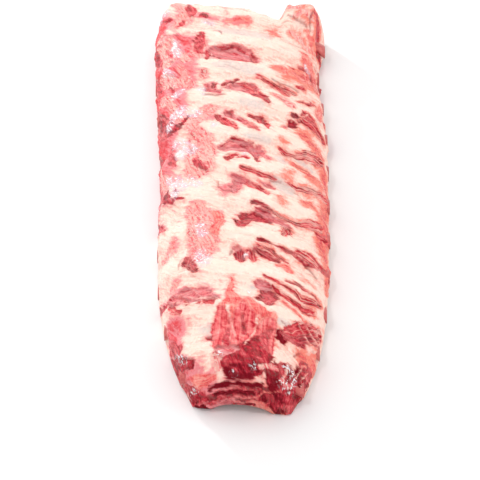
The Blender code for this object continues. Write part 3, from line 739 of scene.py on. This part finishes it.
# small nicks: shallow dips, darkened with painted shade like the clefts
shaded_nicks = []
for _ in range(130):
    a0, v0 = rng.uniform(-70, 72), rng.uniform(-195, 205)
    slope = -0.15 + 0.5 * (a0 > 45) - 0.85 * (a0 < -50)
    reach, thin = rng.uniform(1.5, 6), rng.uniform(0.1, 0.6)
    fall = slope * reach
    shaded_nicks.append([(a0 - reach, v0 - fall, 0.1), (a0, v0, thin), (a0 + reach, v0 + fall, 0.1)])

seam = deepest(SEAMS, drawn_a, drawn_v)
cleft_shade = smooth(-0.9, 0.4, deepest(SHADED_CLEFTS, drawn_a, drawn_v))
cleft_shade = np.maximum(cleft_shade, 0.5 * smooth(-0.8, 0.4, deepest(shaded_nicks, drawn_a, drawn_v)))
window = 0.85 * smooth(-2.5, 1.5, deepest(WINDOWS, map_a, map_v) + 1.5 * layered(map_a, map_v, 7, 41))
lean = np.minimum(lean + 1.1 * streaks, -seam - 0.2)
# painted shade: muscle darkened just inside its border, where the fat's edge shades it
traits["tone"] += 0.15 * bump(lean, 0.5, 0.7) * smooth(0.2, 0.4, traits["tone"])
bare = smooth(-0.2, 1.6, lean)
over_rib = smooth(0.1, 0.9, rib_wave(map_v + 0.35 * np.minimum(map_a + 45, 0)))
ridge = over_rib * (1 - smooth(40, 62, map_a)) * (1 - 0.4 * smooth(-50, -70, map_a))
raw_sides = 0.8 * smooth(-60, -80, map_a) * smooth(-60, -30, map_v) + 0.06 * smooth(58, 76, map_a)
stain = 1.1 * smooth(-8, 4, deepest(TINTS, map_a, map_v) + 3.5 * layered(map_a, map_v, 12, 31))
near_muscle = 0.5 * smooth(-4.5, 0, lean) * (1 - np.minimum(stain, 1))
tint = stain + raw_sides + near_muscle - 0.30 * ridge + 0.14
tint += 0.13 * smooth(-32, -50, map_a) + 0.12 * smooth(145, 165, map_v) + 0.07 * smooth(30, 50, map_a)
crumb = traits["marble"] * np.clip(1 - np.abs(traits["grain"] - 1), 0, 1)
glitter = smooth(-2.5, 1, deepest(GLITTER, drawn_a, drawn_v))
wet = np.maximum.reduce([traits["wet"] * bare, 0.5 * np.clip(tint, 0, 1), glitter])
print("bare muscle covers", round(float((lean > 0).mean()), 2), "of the skin")

# %% [markdown]
# ## Relief that follows the map
#
# Bare muscle lies a little below the fat round it, seams stand up, fibres make fine grooves along
# each stroke, and frayed muscle is rough. All of this moves the points along the skin's own
# outward direction, so that it is real form and shows on the outline too. Sculpting would give
# the same, but could not be repeated or tuned.

# %% Sink, fibres, lumps and wrinkles
TOP_LIMIT = 47.9  # no lump stands higher than this over the table

down, right = np.gradient(skin, axis=0), np.gradient(skin, axis=1)
outward = np.cross(right, down)
outward /= np.linalg.norm(outward, axis=-1, keepdims=True) + 1e-9
soft = np.clip(tint, 0, 1) * (1 - bare)
ragged = bare * smooth(0.35, 0.65, traits["wet"])
shreds = np.exp(-((map_a - 42) / 20) ** 2 - ((map_v + 208) / 13) ** 2)
grooves = noise(fibre[..., 1] + fibre[..., 2], fibre[..., 0], 2.2, 52, 4.5)
lumps = (0.7 + 0.5 * soft) * layered(map_a, map_v, 11, 61)
lumps = lumps + (0.20 + 0.50 * soft) * layered(map_a, map_v, 4.5, 64)
wrinkles = (0.08 + 0.22 * soft) * streaks * (1 - bare)
rim = 0.6 * bump(lean, -1.6, 1.5)
cords = 0.75 * smooth(-1.2, 0.5, seam)
frays = (0.6 * ragged + 1.6 * shreds) * layered(map_a, map_v, 3.6, 81)
frays = frays + 0.3 * ragged * noise(map_a, map_v, 1.7, 85)
sparkle = glitter * (0.7 * layered(map_a, map_v, 3.0, 88) + 0.3)
height = lumps + wrinkles + rim + cords + frays + sparkle - 0.6 * cleft_shade
ruffle = smooth(188, 205, map_v) + smooth(-78, -88, map_a)
ruffle = ruffle + smooth(72, 80, map_a) + smooth(-216, -222, map_v)
waves = layered(map_a, map_v, 8, 91) + 0.7 * layered(map_a, map_v, 3.5, 95)
height += 0.9 * np.minimum(ruffle, 1) * waves
height += bare * (0.18 * grooves - 1.1 * traits["sink"])
left_notch = 6.0 * bump(map_a, -88, 12) * bump(map_v, 199, 6)
right_notch = 3.5 * bump(map_a, 80, 12) * bump(map_v, 202, 9)
height -= left_notch + right_notch


def faded_ends(count, reach):
    """0 at both ends of a row of points, and 1 from reach points inwards."""
    numbers = np.arange(count)
    return smooth(0, reach, np.minimum(numbers, count - 1 - numbers))


fade = height * faded_ends(COLUMNS, 6)[None, :] * faded_ends(ROWS, 5)[:, None]
skin = skin + outward * fade[..., None]
highest = np.maximum(skin[..., 2], TOP_LIMIT - 3)
ceiling = TOP_LIMIT - 0.9 * np.exp((TOP_LIMIT - highest) / -1.5)
skin[..., 2] = np.clip(skin[..., 2], 0.0, ceiling)
print("relief from", round(float(height.min()), 1), "to", round(float(height.max()), 1), "mm")

# %% [markdown]
# ## One closed body
#
# The skin is a sheet with one long rim. The hollow side is smooth, so it needs far fewer points.
# Stretching the fine squares all the way round would double the mesh for nothing. Instead a
# coarse sheet closes the body from below, and a zip of triangles joins the two unequal rims.

# %% The hollow side and the zip
UNDER_COLUMNS = 45
UNDER_STEP = 3.6
INSET = 3.0

under_v = np.linspace(NEAR_END + INSET, FAR_END - INSET, round((FAR_END - NEAR_END) / UNDER_STEP))
under_share = np.linspace(-1, 1, UNDER_COLUMNS)
grid_v = np.repeat(under_v[:, None], UNDER_COLUMNS, axis=1)
under = under_surface(grid_v, np.repeat(under_share[None, :], len(under_v), axis=0))
UNDER_ROWS = len(under)


def grid_numbers(rows, columns, start):
    return start + np.arange(rows * columns).reshape(rows, columns)


def squares(numbers):
    a, b, c, d = numbers[:-1, :-1], numbers[:-1, 1:], numbers[1:, 1:], numbers[1:, :-1]
    return np.stack([a, b, c, d], axis=-1).reshape(-1, 4).tolist()


def zipped(fine, coarse):
    """Triangles between two rims that start and end side by side."""
    i, j, faces = 0, 0, []
    while i < len(fine) - 1 or j < len(coarse) - 1:
        ahead = (i + 1) / (len(fine) - 1) <= (j + 1) / (len(coarse) - 1)
        if j == len(coarse) - 1 or (ahead and i < len(fine) - 1):
            faces.append((fine[i], fine[i + 1], coarse[j]))
            i += 1
        else:
            faces.append((fine[i], coarse[j + 1], coarse[j]))
            j += 1
    return faces


def rims(numbers):
    return numbers[0], numbers[-1], numbers[:, 0], numbers[:, -1]


def mesh_object(name, points, faces, attributes):
    """A smooth mesh in metres from points in millimetres, with its normals facing out."""
    data = bpy.data.meshes.new(name)
    data.from_pydata((points * MM).tolist(), [], faces)
    for key, values in attributes.items():
        kind, field = ("FLOAT", "value") if values.ndim == 1 else ("FLOAT_VECTOR", "vector")
        layer = data.attributes.new(key, kind, "POINT")
        layer.data.foreach_set(field, values.astype(np.float32).ravel())
    edit = bmesh.new()
    edit.from_mesh(data)
    bmesh.ops.recalc_face_normals(edit, faces=edit.faces)
    edit.to_mesh(data)
    edit.free()
    data.shade_smooth()
    made = bpy.data.objects.new(name, data)
    bpy.context.scene.collection.objects.link(made)
    return made


top_numbers = grid_numbers(ROWS, COLUMNS, 0)
low_numbers = grid_numbers(UNDER_ROWS, UNDER_COLUMNS, ROWS * COLUMNS)
faces = squares(top_numbers) + squares(low_numbers)
for fine_rim, coarse_rim in zip(rims(top_numbers), rims(low_numbers)):
    faces += zipped(fine_rim.tolist(), coarse_rim.tolist())

under_a = under[..., 0]
under_wave = rib_wave(grid_v)
under_lean = np.where(np.abs(under_share)[None, :] < 0.82, -0.6 - 2.6 * under_wave, -3.0)
under_count = UNDER_ROWS * UNDER_COLUMNS


def with_under(top, low):
    """One value for each point: the skin's, then the hollow side's."""
    parts = top.shape[2:]
    return np.concatenate([top.reshape(-1, *parts), np.broadcast_to(low, (under_count, *parts))])


under_place = np.stack([under_a, grid_v + 700, 0 * under_a], axis=-1).reshape(-1, 3)
shown_ribs = 0.55 * smooth(0.2, 0.9, under_wave)
fields = {  # the skin's values, and what stands for them on the hollow side
    "grain": (grain, under_place),
    "fibre": (fibre, under_place),
    "lean": (lean + 0.4, under_lean.reshape(-1)),
    "tone": (traits["tone"], 0.3),
    "marble": (traits["marble"], 0.2),
    "crumb": (crumb, 0.2),
    "warm": (traits["warm"], 0.2),
    "wet": (wet, 0.5),
    "film": (traits["film"], 0.3),
    "tint": (tint, 0.25),
    "cleft_shade": (cleft_shade, 0.0),
    "glitter": (glitter, 0.0),
    # where the painted lavender sheen goes
    "painted_sheen": (glitter * smooth(-150, -125, map_v), 0.0),
    "window": (window, shown_ribs.reshape(-1)),
}
attributes = {name: with_under(top, low) for name, (top, low) in fields.items()}
points = np.concatenate([skin.reshape(-1, 3), under.reshape(-1, 3)])
points[:, :2] += shift
body = mesh_object("rack_body", points, faces, attributes)
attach(body, "root")
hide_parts("meat")
print("rack_body has", len(body.data.polygons), "faces")

# %% [markdown]
# ## The rib bones
#
# Each rib is an oval bar bent over the hollow, and the saw has cut both its ends off upright,
# a hair proud of the sides. Only the ends show, so a bone is a loft of ovals standing upright across
# the rack, with a cap at each end that dips into a spongy middle. Its shine and colour differ
# from meat, so each bone is a piece of its own.

# %% Eleven bones
BONE_WIDTH = 11.5
BONE_THICKNESS = 8.0
BONE_END_HEIGHT = 10.5
BONE_PROUD = 0.4  # how far each sawn end stands out of the side
BONE_SIDES = 28
BONE_RINGS = 25
CAP_RINGS = 4


def bone_points(number):
    """Rings of a bone from its left end to its right, with the rings of both caps."""
    rng = np.random.default_rng(300 + number)
    v = FIRST_RIB + number * RIB_PITCH
    middle = arch(v) + 0.47 * (crown(v) - arch(v))
    left, right_edge = -half_width(v, -1.0) - BONE_PROUD, half_width(v, 1.0) + BONE_PROUD
    turn = np.linspace(0, 2 * np.pi, BONE_SIDES, endpoint=False)
    uneven = 1 + 0.05 * np.sin(2 * turn + rng.uniform(0, 6))
    uneven = uneven + 0.03 * np.sin(3 * turn + rng.uniform(0, 6))
    rings, core = [], []

    def ring(x, size):
        share = (x / half_width(v, x)) ** 2
        slope = 2 * (middle - BONE_END_HEIGHT) * abs(x) / half_width(v, x) ** 2
        swell = 1 + 0.12 * share
        tall = BONE_THICKNESS / 2 * swell * math.hypot(1, slope)
        z = BONE_END_HEIGHT + (middle - BONE_END_HEIGHT) * (1 - share)
        across = BONE_WIDTH / 2 * swell * uneven * size * np.sin(turn)
        up = tall * uneven * size * np.cos(turn)
        place = leaning(np.full(BONE_SIDES, x), v, 0.0 * turn + z + up)
        place[:, 1] += across
        return place

    caps = np.linspace(0.15, 0.94, CAP_RINGS)
    for size in caps:
        rings.append(ring(left + 0.5 * (1 - size), size))
        core.append(1 - size)
    for x in np.linspace(left, right_edge, BONE_RINGS):
        rings.append(ring(float(x), 1.0))
        core.append(0.0)
    for size in caps[::-1]:
        rings.append(ring(right_edge - 0.5 * (1 - size), size))
        core.append(1 - size)
    return np.stack(rings), np.array(core)


bones = []
for number in range(RIB_COUNT):
    rings, core = bone_points(number)
    numbers = grid_numbers(len(rings), BONE_SIDES, 0)
    numbers = np.concatenate([numbers, numbers[:, :1]], axis=1)
    bone_faces = squares(numbers) + [numbers[0, :-1].tolist(), numbers[-1, :-1].tolist()]
    points = rings.reshape(-1, 3).copy()
    points[:, :2] += shift
    marrow = {"core": np.repeat(core, BONE_SIDES)}
    bone = mesh_object(f"bone_{number + 1:02d}", points, bone_faces, marrow)
    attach(bone, "root")
    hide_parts(f"rib_{number + 1:02d}")
    bones.append(bone)
print(len(bones), "bones of", len(bones[0].data.polygons), "faces each")

# %% [markdown]
# ## Helpers for the materials
#
# A material is a network of small nodes. Written out one call at a time it takes pages, so short
# helpers do the wiring: they add a node with its inputs, do a sum, blend two colours or shift a
# value by a texture. Effects that come back become groups with named sockets.

# %% Node helpers


def add(tree, kind, inputs=(), **settings):
    """A node with its settings, and its inputs set or linked by name or by place."""
    node = tree.nodes.new("ShaderNode" + kind)
    for key, value in settings.items():
        setattr(node, key, value)
    pairs = inputs.items() if isinstance(inputs, dict) else enumerate(inputs)
    for key, value in pairs:
        if isinstance(value, bpy.types.NodeSocket):
            tree.links.new(value, node.inputs[key])
        elif value is not None:
            node.inputs[key].default_value = value
    return node


def calc(tree, operation, *values, clamp=False):
    return add(tree, "Math", values, operation=operation, use_clamp=clamp).outputs[0]


def blend(tree, amount, first, second):
    node = add(tree, "Mix", {0: amount, 6: first, 7: second}, data_type="RGBA")
    return node.outputs[2]


def remap(tree, value, low, high, to_low=0.0, to_high=1.0):
    inputs = (value, low, high, to_low, to_high)
    return add(tree, "MapRange", inputs, interpolation_type="SMOOTHSTEP").outputs[0]


def sway(tree, field, weight, base):
    """The base, shifted up where the field is over one half and down where it is under."""
    return calc(tree, "MULTIPLY_ADD", calc(tree, "SUBTRACT", field, 0.5), weight, base)


def clouds(tree, place, scale, detail, roughness, distortion=0.0):
    """Blender's own noise as a value."""
    inputs = {"Vector": place, "Scale": scale, "Detail": detail}
    inputs |= {"Roughness": roughness, "Distortion": distortion}
    return add(tree, "TexNoise", inputs).outputs[0]


def in_units(tree, place, length, width):
    """The place along and across the grain, counted in lengths and widths."""
    parts = add(tree, "SeparateXYZ", (place,)).outputs
    run = calc(tree, "DIVIDE", parts[0], length)
    side = calc(tree, "DIVIDE", parts[1], width)
    return add(tree, "CombineXYZ", (run, side, parts[2])).outputs[0]


def rgb(red, green, blue):
    """A colour as seen on screen, from 0 to 255, turned into the shader's linear light."""
    parts = [c / 255 for c in (red, green, blue)]
    return (*[c / 12.92 if c <= 0.04045 else ((c + 0.055) / 1.055) ** 2.4 for c in parts], 1)


def ramp(tree, value, *stops):
    node = add(tree, "ValToRGB", (value,))
    points = node.color_ramp.elements
    while len(points) < len(stops):
        points.new(0.5)
    for point, (position, colour) in zip(points, stops):
        point.position = position
        point.color = colour
    return node.outputs[0]


def read(tree, name, output="Fac"):
    """What the mesh says about this spot: a value by default, or a vector."""
    return add(tree, "Attribute", attribute_name=name).outputs[output]


def group(name, inputs, outputs):
    """An empty shader group. Sockets are floats unless their default is a colour or a vector."""
    tree = bpy.data.node_groups.new(name, "ShaderNodeTree")
    for way, sockets in (("INPUT", inputs), ("OUTPUT", outputs)):
        for label, default in sockets.items():
            kind = {int: "Float", float: "Float", tuple: "Color", str: "Vector"}[type(default)]
            socket = tree.interface.new_socket(label, in_out=way, socket_type="NodeSocket" + kind)
            if way == "INPUT" and kind != "Vector":
                socket.default_value = default
    inlet = tree.nodes.new("NodeGroupInput")
    outlet = tree.nodes.new("NodeGroupOutput")
    return tree, inlet.outputs, outlet.inputs


def use(tree, made_group, **inputs):
    """Place a group and return its outputs."""
    node = tree.nodes.new("ShaderNodeGroup")
    node.node_tree = made_group
    for key, value in inputs.items():
        if isinstance(value, bpy.types.NodeSocket):
            tree.links.new(value, node.inputs[key])
        else:
            node.inputs[key].default_value = value
    return node.outputs


def new_material(name):
    """A material, its tree and its shader."""
    made = bpy.data.materials.new(name)
    made.use_nodes = True
    return made, made.node_tree, made.node_tree.nodes["Principled BSDF"]


def set_all(shader, **values):
    """Set sockets that are the same all over. Underscores stand for spaces."""
    for key, value in values.items():
        shader.inputs[key.replace("_", " ")].default_value = value


print("node helpers are ready")

# %% [markdown]
# ## Shared effects
#
# Four effects become groups, and bone shares all but the fibres. Torn edges: fat never ends in a
# clean line, so the border's depth is shaken by fine noise before it becomes a mask. Fibres: noise
# that is stretched along the muscle, with thin threads of fat in it. Grained fat: clouds, specks
# and streaks of uneven colour. Moisture: wet patches are smoother than dry ones, and their film
# has fine ripples.

# %% Torn edges
torn_edge, given, result = group(
    "torn_edge",
    {"Grain": "vector", "Depth": 0.0, "Width": 1.2, "Length": 7.0, "Tear": 1.0, "Softness": 0.4},
    {"Mask": 0.0},
)
fingers = in_units(torn_edge, given["Grain"], given["Length"], given["Width"])
shaken = clouds(torn_edge, fingers, 1.0, 4.0, 0.65, 0.3)
shaken = calc(torn_edge, "MULTIPLY", calc(torn_edge, "SUBTRACT", shaken, 0.5), given["Tear"])
total = calc(torn_edge, "MULTIPLY_ADD", shaken, 3.0, given["Depth"])
below = calc(torn_edge, "MULTIPLY", given["Softness"], -1.0)
torn_edge.links.new(remap(torn_edge, total, below, given["Softness"]), result["Mask"])
print("made", torn_edge.name)

# %% Muscle fibres
muscle_fibres, given, result = group(
    "muscle_fibres",
    {"Fibre": "vector", "Width": 0.5, "Length": 6.0},
    {"Streak": 0.0, "Thread": 0.0},
)
stretched = in_units(muscle_fibres, given["Fibre"], given["Length"], given["Width"])
streak = clouds(muscle_fibres, stretched, 1.0, 4.0, 0.6, 0.5)
muscle_fibres.links.new(remap(muscle_fibres, streak, 0.28, 0.72), result["Streak"])
widened = (stretched, (0.18, 0.45, 1.0))
broad = add(muscle_fibres, "VectorMath", widened, operation="MULTIPLY").outputs[0]
thread = clouds(muscle_fibres, broad, 1.0, 2.0, 0.5, 0.8)
ridge = calc(muscle_fibres, "ABSOLUTE", calc(muscle_fibres, "SUBTRACT", thread, 0.5))
muscle_fibres.links.new(remap(muscle_fibres, ridge, 0.07, 0.0), result["Thread"])
print("made", muscle_fibres.name)

# %% Grained fat
fat_grain, given, result = group(
    "fat_grain",
    {"Grain": "vector", "Size": 6.0},
    {"Cloud": 0.0, "Speck": 0.0, "Streak": 0.0},
)
for label, scale, stretch, detail in (
    ("Cloud", 1.0, 1.6, 3.0),
    ("Speck", 4.0, 1.0, 4.0),
    ("Streak", 0.6, 5.0, 4.0),
):
    spots = calc(fat_grain, "DIVIDE", scale, given["Size"])
    drawn_out = (given["Grain"], (1.0, stretch, 1.0))
    grained = add(fat_grain, "VectorMath", drawn_out, operation="MULTIPLY").outputs[0]
    cloud = clouds(fat_grain, grained, spots, detail, 0.6, 0.5)
    fat_grain.links.new(remap(fat_grain, cloud, 0.30, 0.70), result[label])
print("made", fat_grain.name)

# %% Moisture
moist_film, given, result = group(
    "moist_film",
    {"Place": "vector", "Wet": 0.3, "Dry": 0.5, "Soaked": 0.15},
    {"Roughness": 0.0, "Height": 0.0, "Coat": 0.0},
)
patches = clouds(moist_film, given["Place"], 0.35, 3.0, 0.6)
film = calc(moist_film, "ADD", given["Wet"], calc(moist_film, "SUBTRACT", patches, 0.5), clamp=True)
span = calc(moist_film, "SUBTRACT", given["Soaked"], given["Dry"])
rough = calc(moist_film, "ADD", given["Dry"], calc(moist_film, "MULTIPLY", film, span))
moist_film.links.new(rough, result["Roughness"])
moist_film.links.new(calc(moist_film, "MULTIPLY", film, 0.12), result["Coat"])
ripple = clouds(moist_film, given["Place"], 1.1, 4.0, 0.7)
rippled = calc(moist_film, "MULTIPLY", ripple, calc(moist_film, "ADD", film, 0.25))
moist_film.links.new(rippled, result["Height"])
print("made", moist_film.name)

# %% [markdown]
# ## Raw meat
#
# One material reads the map and mixes three things: fat, muscle and the skin of a bone. Muscle
# goes from pale rose to deep crimson with its tone, and streaks of fibre shift it up and down.
# A little light passes under the surface, as it does in real flesh, but not so much that the
# small marks blur. Painted shade in the clefts, a painted lavender sheen and painted white glints
# on wet membrane are laid on last.

# %% The raw meat material
IVORY = rgb(252, 230, 216)
CREAM = rgb(250, 217, 202)
PEACH = rgb(248, 196, 182)
ROSE = rgb(240, 142, 146)
CORAL = rgb(244, 138, 122)
GREY_BONE = rgb(216, 199, 193)
MILKY = rgb(228, 172, 172)
BLOODY = rgb(226, 78, 84)
# painted shade colour for the clefts
CLEFT_SHADE_BROWN = rgb(150, 48, 48)
# painted highlight colour for the glints on wet membrane
PAINTED_GLINT_WHITE = rgb(255, 250, 252)
# painted sheen colour for wet membrane
PAINTED_SHEEN_LAVENDER = rgb(238, 206, 220)
COOL_MUSCLE = [
    (0.0, rgb(250, 176, 172)),
    (0.35, rgb(238, 118, 122)),
    (0.65, rgb(200, 48, 64)),
    (1.0, rgb(126, 0, 22)),
]
WARM_MUSCLE = [
    (0.0, rgb(252, 164, 146)),
    (0.35, rgb(244, 108, 102)),
    (0.65, rgb(216, 42, 48)),
    (1.0, rgb(140, 0, 16)),
]

raw_meat, tree, shader = new_material("raw_meat_marbled")
grain_here, fibre_here = read(tree, "grain", "Vector"), read(tree, "fibre", "Vector")
depth, tint_here = read(tree, "lean"), read(tree, "tint")

mottle = use(tree, fat_grain, Grain=grain_here, Size=9.0)
fibres = use(tree, muscle_fibres, Fibre=fibre_here, Width=1.2, Length=11.0)
film = use(tree, moist_film, Place=grain_here, Wet=read(tree, "wet"), Dry=0.42, Soaked=0.10)
bare_mask = use(
    tree, torn_edge, Grain=grain_here, Depth=depth, Width=1.3, Length=7.0, Tear=1.3, Softness=0.85
)["Mask"]

fat = blend(tree, mottle["Cloud"], CREAM, IVORY)
fat = blend(tree, calc(tree, "MULTIPLY", mottle["Speck"], 0.22), fat, PEACH)
stain = calc(tree, "MULTIPLY", tint_here, 0.62)
for layer, weight in (("Streak", 0.26), ("Speck", 0.22), ("Cloud", 0.32)):
    stain = sway(tree, mottle[layer], weight, stain)
across = add(tree, "SeparateXYZ", (grain_here,)).outputs[0]
blush = blend(tree, remap(tree, across, -30.0, 40.0), ROSE, CORAL)
fat = blend(tree, remap(tree, stain, 0.02, 0.30), fat, PEACH)
fat = blend(tree, remap(tree, stain, 0.22, 0.60), fat, blush)
fat = blend(tree, remap(tree, stain, 0.66, 1.05), fat, BLOODY)
uneven = remap(tree, mottle["Speck"], 0.0, 1.0, 0.6, 1.0)
bone_skin = calc(tree, "MULTIPLY", read(tree, "window"), uneven)
fat = blend(tree, bone_skin, fat, GREY_BONE)

shifted = sway(tree, fibres["Streak"], 0.34, read(tree, "tone"))
shifted = sway(tree, mottle["Cloud"], 0.42, shifted)
shifted = sway(tree, mottle["Speck"], 0.20, shifted)
cool, warm = ramp(tree, shifted, *COOL_MUSCLE), ramp(tree, shifted, *WARM_MUSCLE)
muscle = blend(tree, read(tree, "warm"), cool, warm)
muscle = blend(tree, calc(tree, "MULTIPLY", read(tree, "film"), mottle["Streak"]), muscle, MILKY)
muscle = blend(tree, calc(tree, "MULTIPLY", fibres["Thread"], read(tree, "marble")), muscle, PEACH)
clusters = calc(tree, "ADD", mottle["Speck"], calc(tree, "MULTIPLY", mottle["Cloud"], 0.5))
crumbled = calc(tree, "MULTIPLY", remap(tree, clusters, 0.72, 1.05), read(tree, "crumb"))
muscle = blend(tree, crumbled, muscle, CREAM)

colour = blend(tree, bare_mask, fat, muscle)
# painted shade: brown blended into the clefts and nicks
colour = blend(tree, calc(tree, "MULTIPLY", read(tree, "cleft_shade"), 0.6), colour, CLEFT_SHADE_BROWN)
# painted sheen: lavender blended in where wet membrane would reflect the light
uneven = remap(tree, mottle["Cloud"], 0.25, 0.70, 0.10, 0.60)
painted_sheen = calc(tree, "MULTIPLY", read(tree, "painted_sheen"), uneven)
colour = blend(tree, painted_sheen, colour, PAINTED_SHEEN_LAVENDER)
# painted highlight: white glints blended into the colour on wet membrane
painted_glint_flecks = calc(tree, "MULTIPLY", read(tree, "glitter"), remap(tree, mottle["Speck"], 0.62, 0.84))
tree.links.new(blend(tree, painted_glint_flecks, colour, PAINTED_GLINT_WHITE), shader.inputs["Base Color"])
tree.links.new(film["Roughness"], shader.inputs["Roughness"])
groove = calc(tree, "MULTIPLY", fibres["Streak"], bare_mask)
fine = calc(tree, "MULTIPLY_ADD", groove, 0.3, film["Height"])
fine = calc(tree, "MULTIPLY_ADD", mottle["Streak"], 0.5, fine)
bumps = add(tree, "Bump", {"Strength": 0.8, "Distance": 0.0009, "Height": fine})
tree.links.new(bumps.outputs[0], shader.inputs["Normal"])
set_all(shader, Subsurface_Weight=0.2, Subsurface_Radius=(1.0, 0.35, 0.25), Subsurface_Scale=0.0015)
set_all(shader, Specular_IOR_Level=0.05, Coat_Roughness=0.07)
shine = calc(tree, "MULTIPLY_ADD", read(tree, "glitter"), 0.5, film["Coat"])
tree.links.new(shine, shader.inputs["Coat Weight"])
body.data.materials.append(raw_meat)
print("raw_meat_marbled has", len(tree.nodes), "nodes")

# %% [markdown]
# ## Bone
#
# A sawn rib has a dense ring round a spongy middle, and on raw meat both are stained by blood. The
# mesh already says how far in from the ring each point lies, so the material only colours that.

# %% The bone material
bone_finish, tree, shader = new_material("sawn_bone")
spot = add(tree, "TexCoord").outputs["Object"]
spot = add(tree, "VectorMath", (spot, (1000.0, 1000.0, 1000.0)), operation="MULTIPLY").outputs[0]
mottle = use(tree, fat_grain, Grain=spot, Size=3.0)
marrow_depth = calc(tree, "SUBTRACT", read(tree, "core"), 0.3)
marrow = use(
    tree, torn_edge, Grain=spot, Depth=marrow_depth, Width=0.8, Length=0.8, Tear=0.25, Softness=0.15
)["Mask"]
ring = blend(tree, mottle["Cloud"], rgb(212, 110, 102), rgb(188, 70, 72))
sponge = blend(tree, mottle["Speck"], rgb(168, 52, 56), rgb(130, 30, 36))
tree.links.new(blend(tree, marrow, ring, sponge), shader.inputs["Base Color"])
film = use(tree, moist_film, Place=spot, Wet=0.4, Dry=0.5, Soaked=0.25)
tree.links.new(film["Roughness"], shader.inputs["Roughness"])
pores = calc(tree, "ADD", film["Height"], calc(tree, "MULTIPLY", mottle["Speck"], marrow))
bumps = add(tree, "Bump", {"Strength": 0.5, "Distance": 0.0004, "Height": pores})
tree.links.new(bumps.outputs[0], shader.inputs["Normal"])
for bone in bones:
    bone.data.materials.append(bone_finish)
print("sawn_bone is on", len(bones), "bones")

# %% [markdown]
# ## Floor, light and camera
#
# The rack lies on a plain pale surface. A large soft light high on the left and behind gives the
# short soft shadow on the right. Two small ones make the moist glints, one low behind on the left
# and one high in front for the narrow end. A broad one lifts the right side, and an even bright
# surround fills in, as white walls would.

# %% The floor
floor_data = bpy.data.meshes.new("floor")
edit = bmesh.new()
bmesh.ops.create_grid(edit, x_segments=1, y_segments=1, size=4.0)
edit.to_mesh(floor_data)
edit.free()
floor = bpy.data.objects.new("floor", floor_data)
floor.location.z = solid_box[0][2] - 0.0002
bpy.context.scene.collection.objects.link(floor)
floor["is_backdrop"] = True
paper, tree, shader = new_material("pale_floor")
set_all(shader, Base_Color=rgb(240, 240, 240), Roughness=0.7)
floor.data.materials.append(paper)

# %% The lights
middle = (Vector(solid_box[0]) + Vector(solid_box[1])) / 2


def soft_light(name, direction, distance, size, power):
    """A square area light that looks at the middle of the rack."""
    data = bpy.data.lights.new(name, "AREA")
    data.size = size
    data.energy = power
    made = bpy.data.objects.new(name, data)
    made.location = middle + Vector(direction).normalized() * distance
    made.rotation_euler = (middle - made.location).to_track_quat("-Z", "Y").to_euler()
    bpy.context.scene.collection.objects.link(made)


soft_light("key_softbox", (-0.55, 0.45, 0.90), 1.6, 1.0, 4.6)
soft_light("glint_light", (-0.57, 0.76, 0.36), 1.5, 0.12, 9)
soft_light("near_glint_light", (-0.30, -0.35, 0.90), 1.5, 0.12, 3)
soft_light("side_fill", (0.85, -0.15, 0.40), 1.5, 0.9, 5)
world = bpy.data.worlds.new("white_room")
world.use_nodes = True
set_all(world.node_tree.nodes["Background"], Color=(1, 1, 1, 1), Strength=0.86)
bpy.context.scene.world = world
bpy.context.scene.view_settings.view_transform = "Standard"

# %% The camera
TILT = math.radians(41.0)
TURN = math.radians(0.31)
STAND = Vector((5.0 + shift[0], -1199.6 + shift[1], 1008.8)) * MM

camera_data = bpy.data.cameras.new("camera")
camera_data.lens = 150
camera_data.sensor_width = 36
camera = bpy.data.objects.new("camera", camera_data)
camera.location = STAND
camera.rotation_euler = (math.pi / 2 - TILT, 0, TURN)
bpy.context.scene.collection.objects.link(camera)
bpy.context.scene.camera = camera
print("camera at", [round(c, 3) for c in camera.location])

# %% [markdown]
# ## The size at the end
#
# The dressed rack should fill the same box as the solid, so both boxes are printed.

# %% Both boxes
dressed_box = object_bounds()
for name, box in (("solid", solid_box), ("dressed", dressed_box)):
    print(name, [list(np.round(corner, 4)) for corner in box])
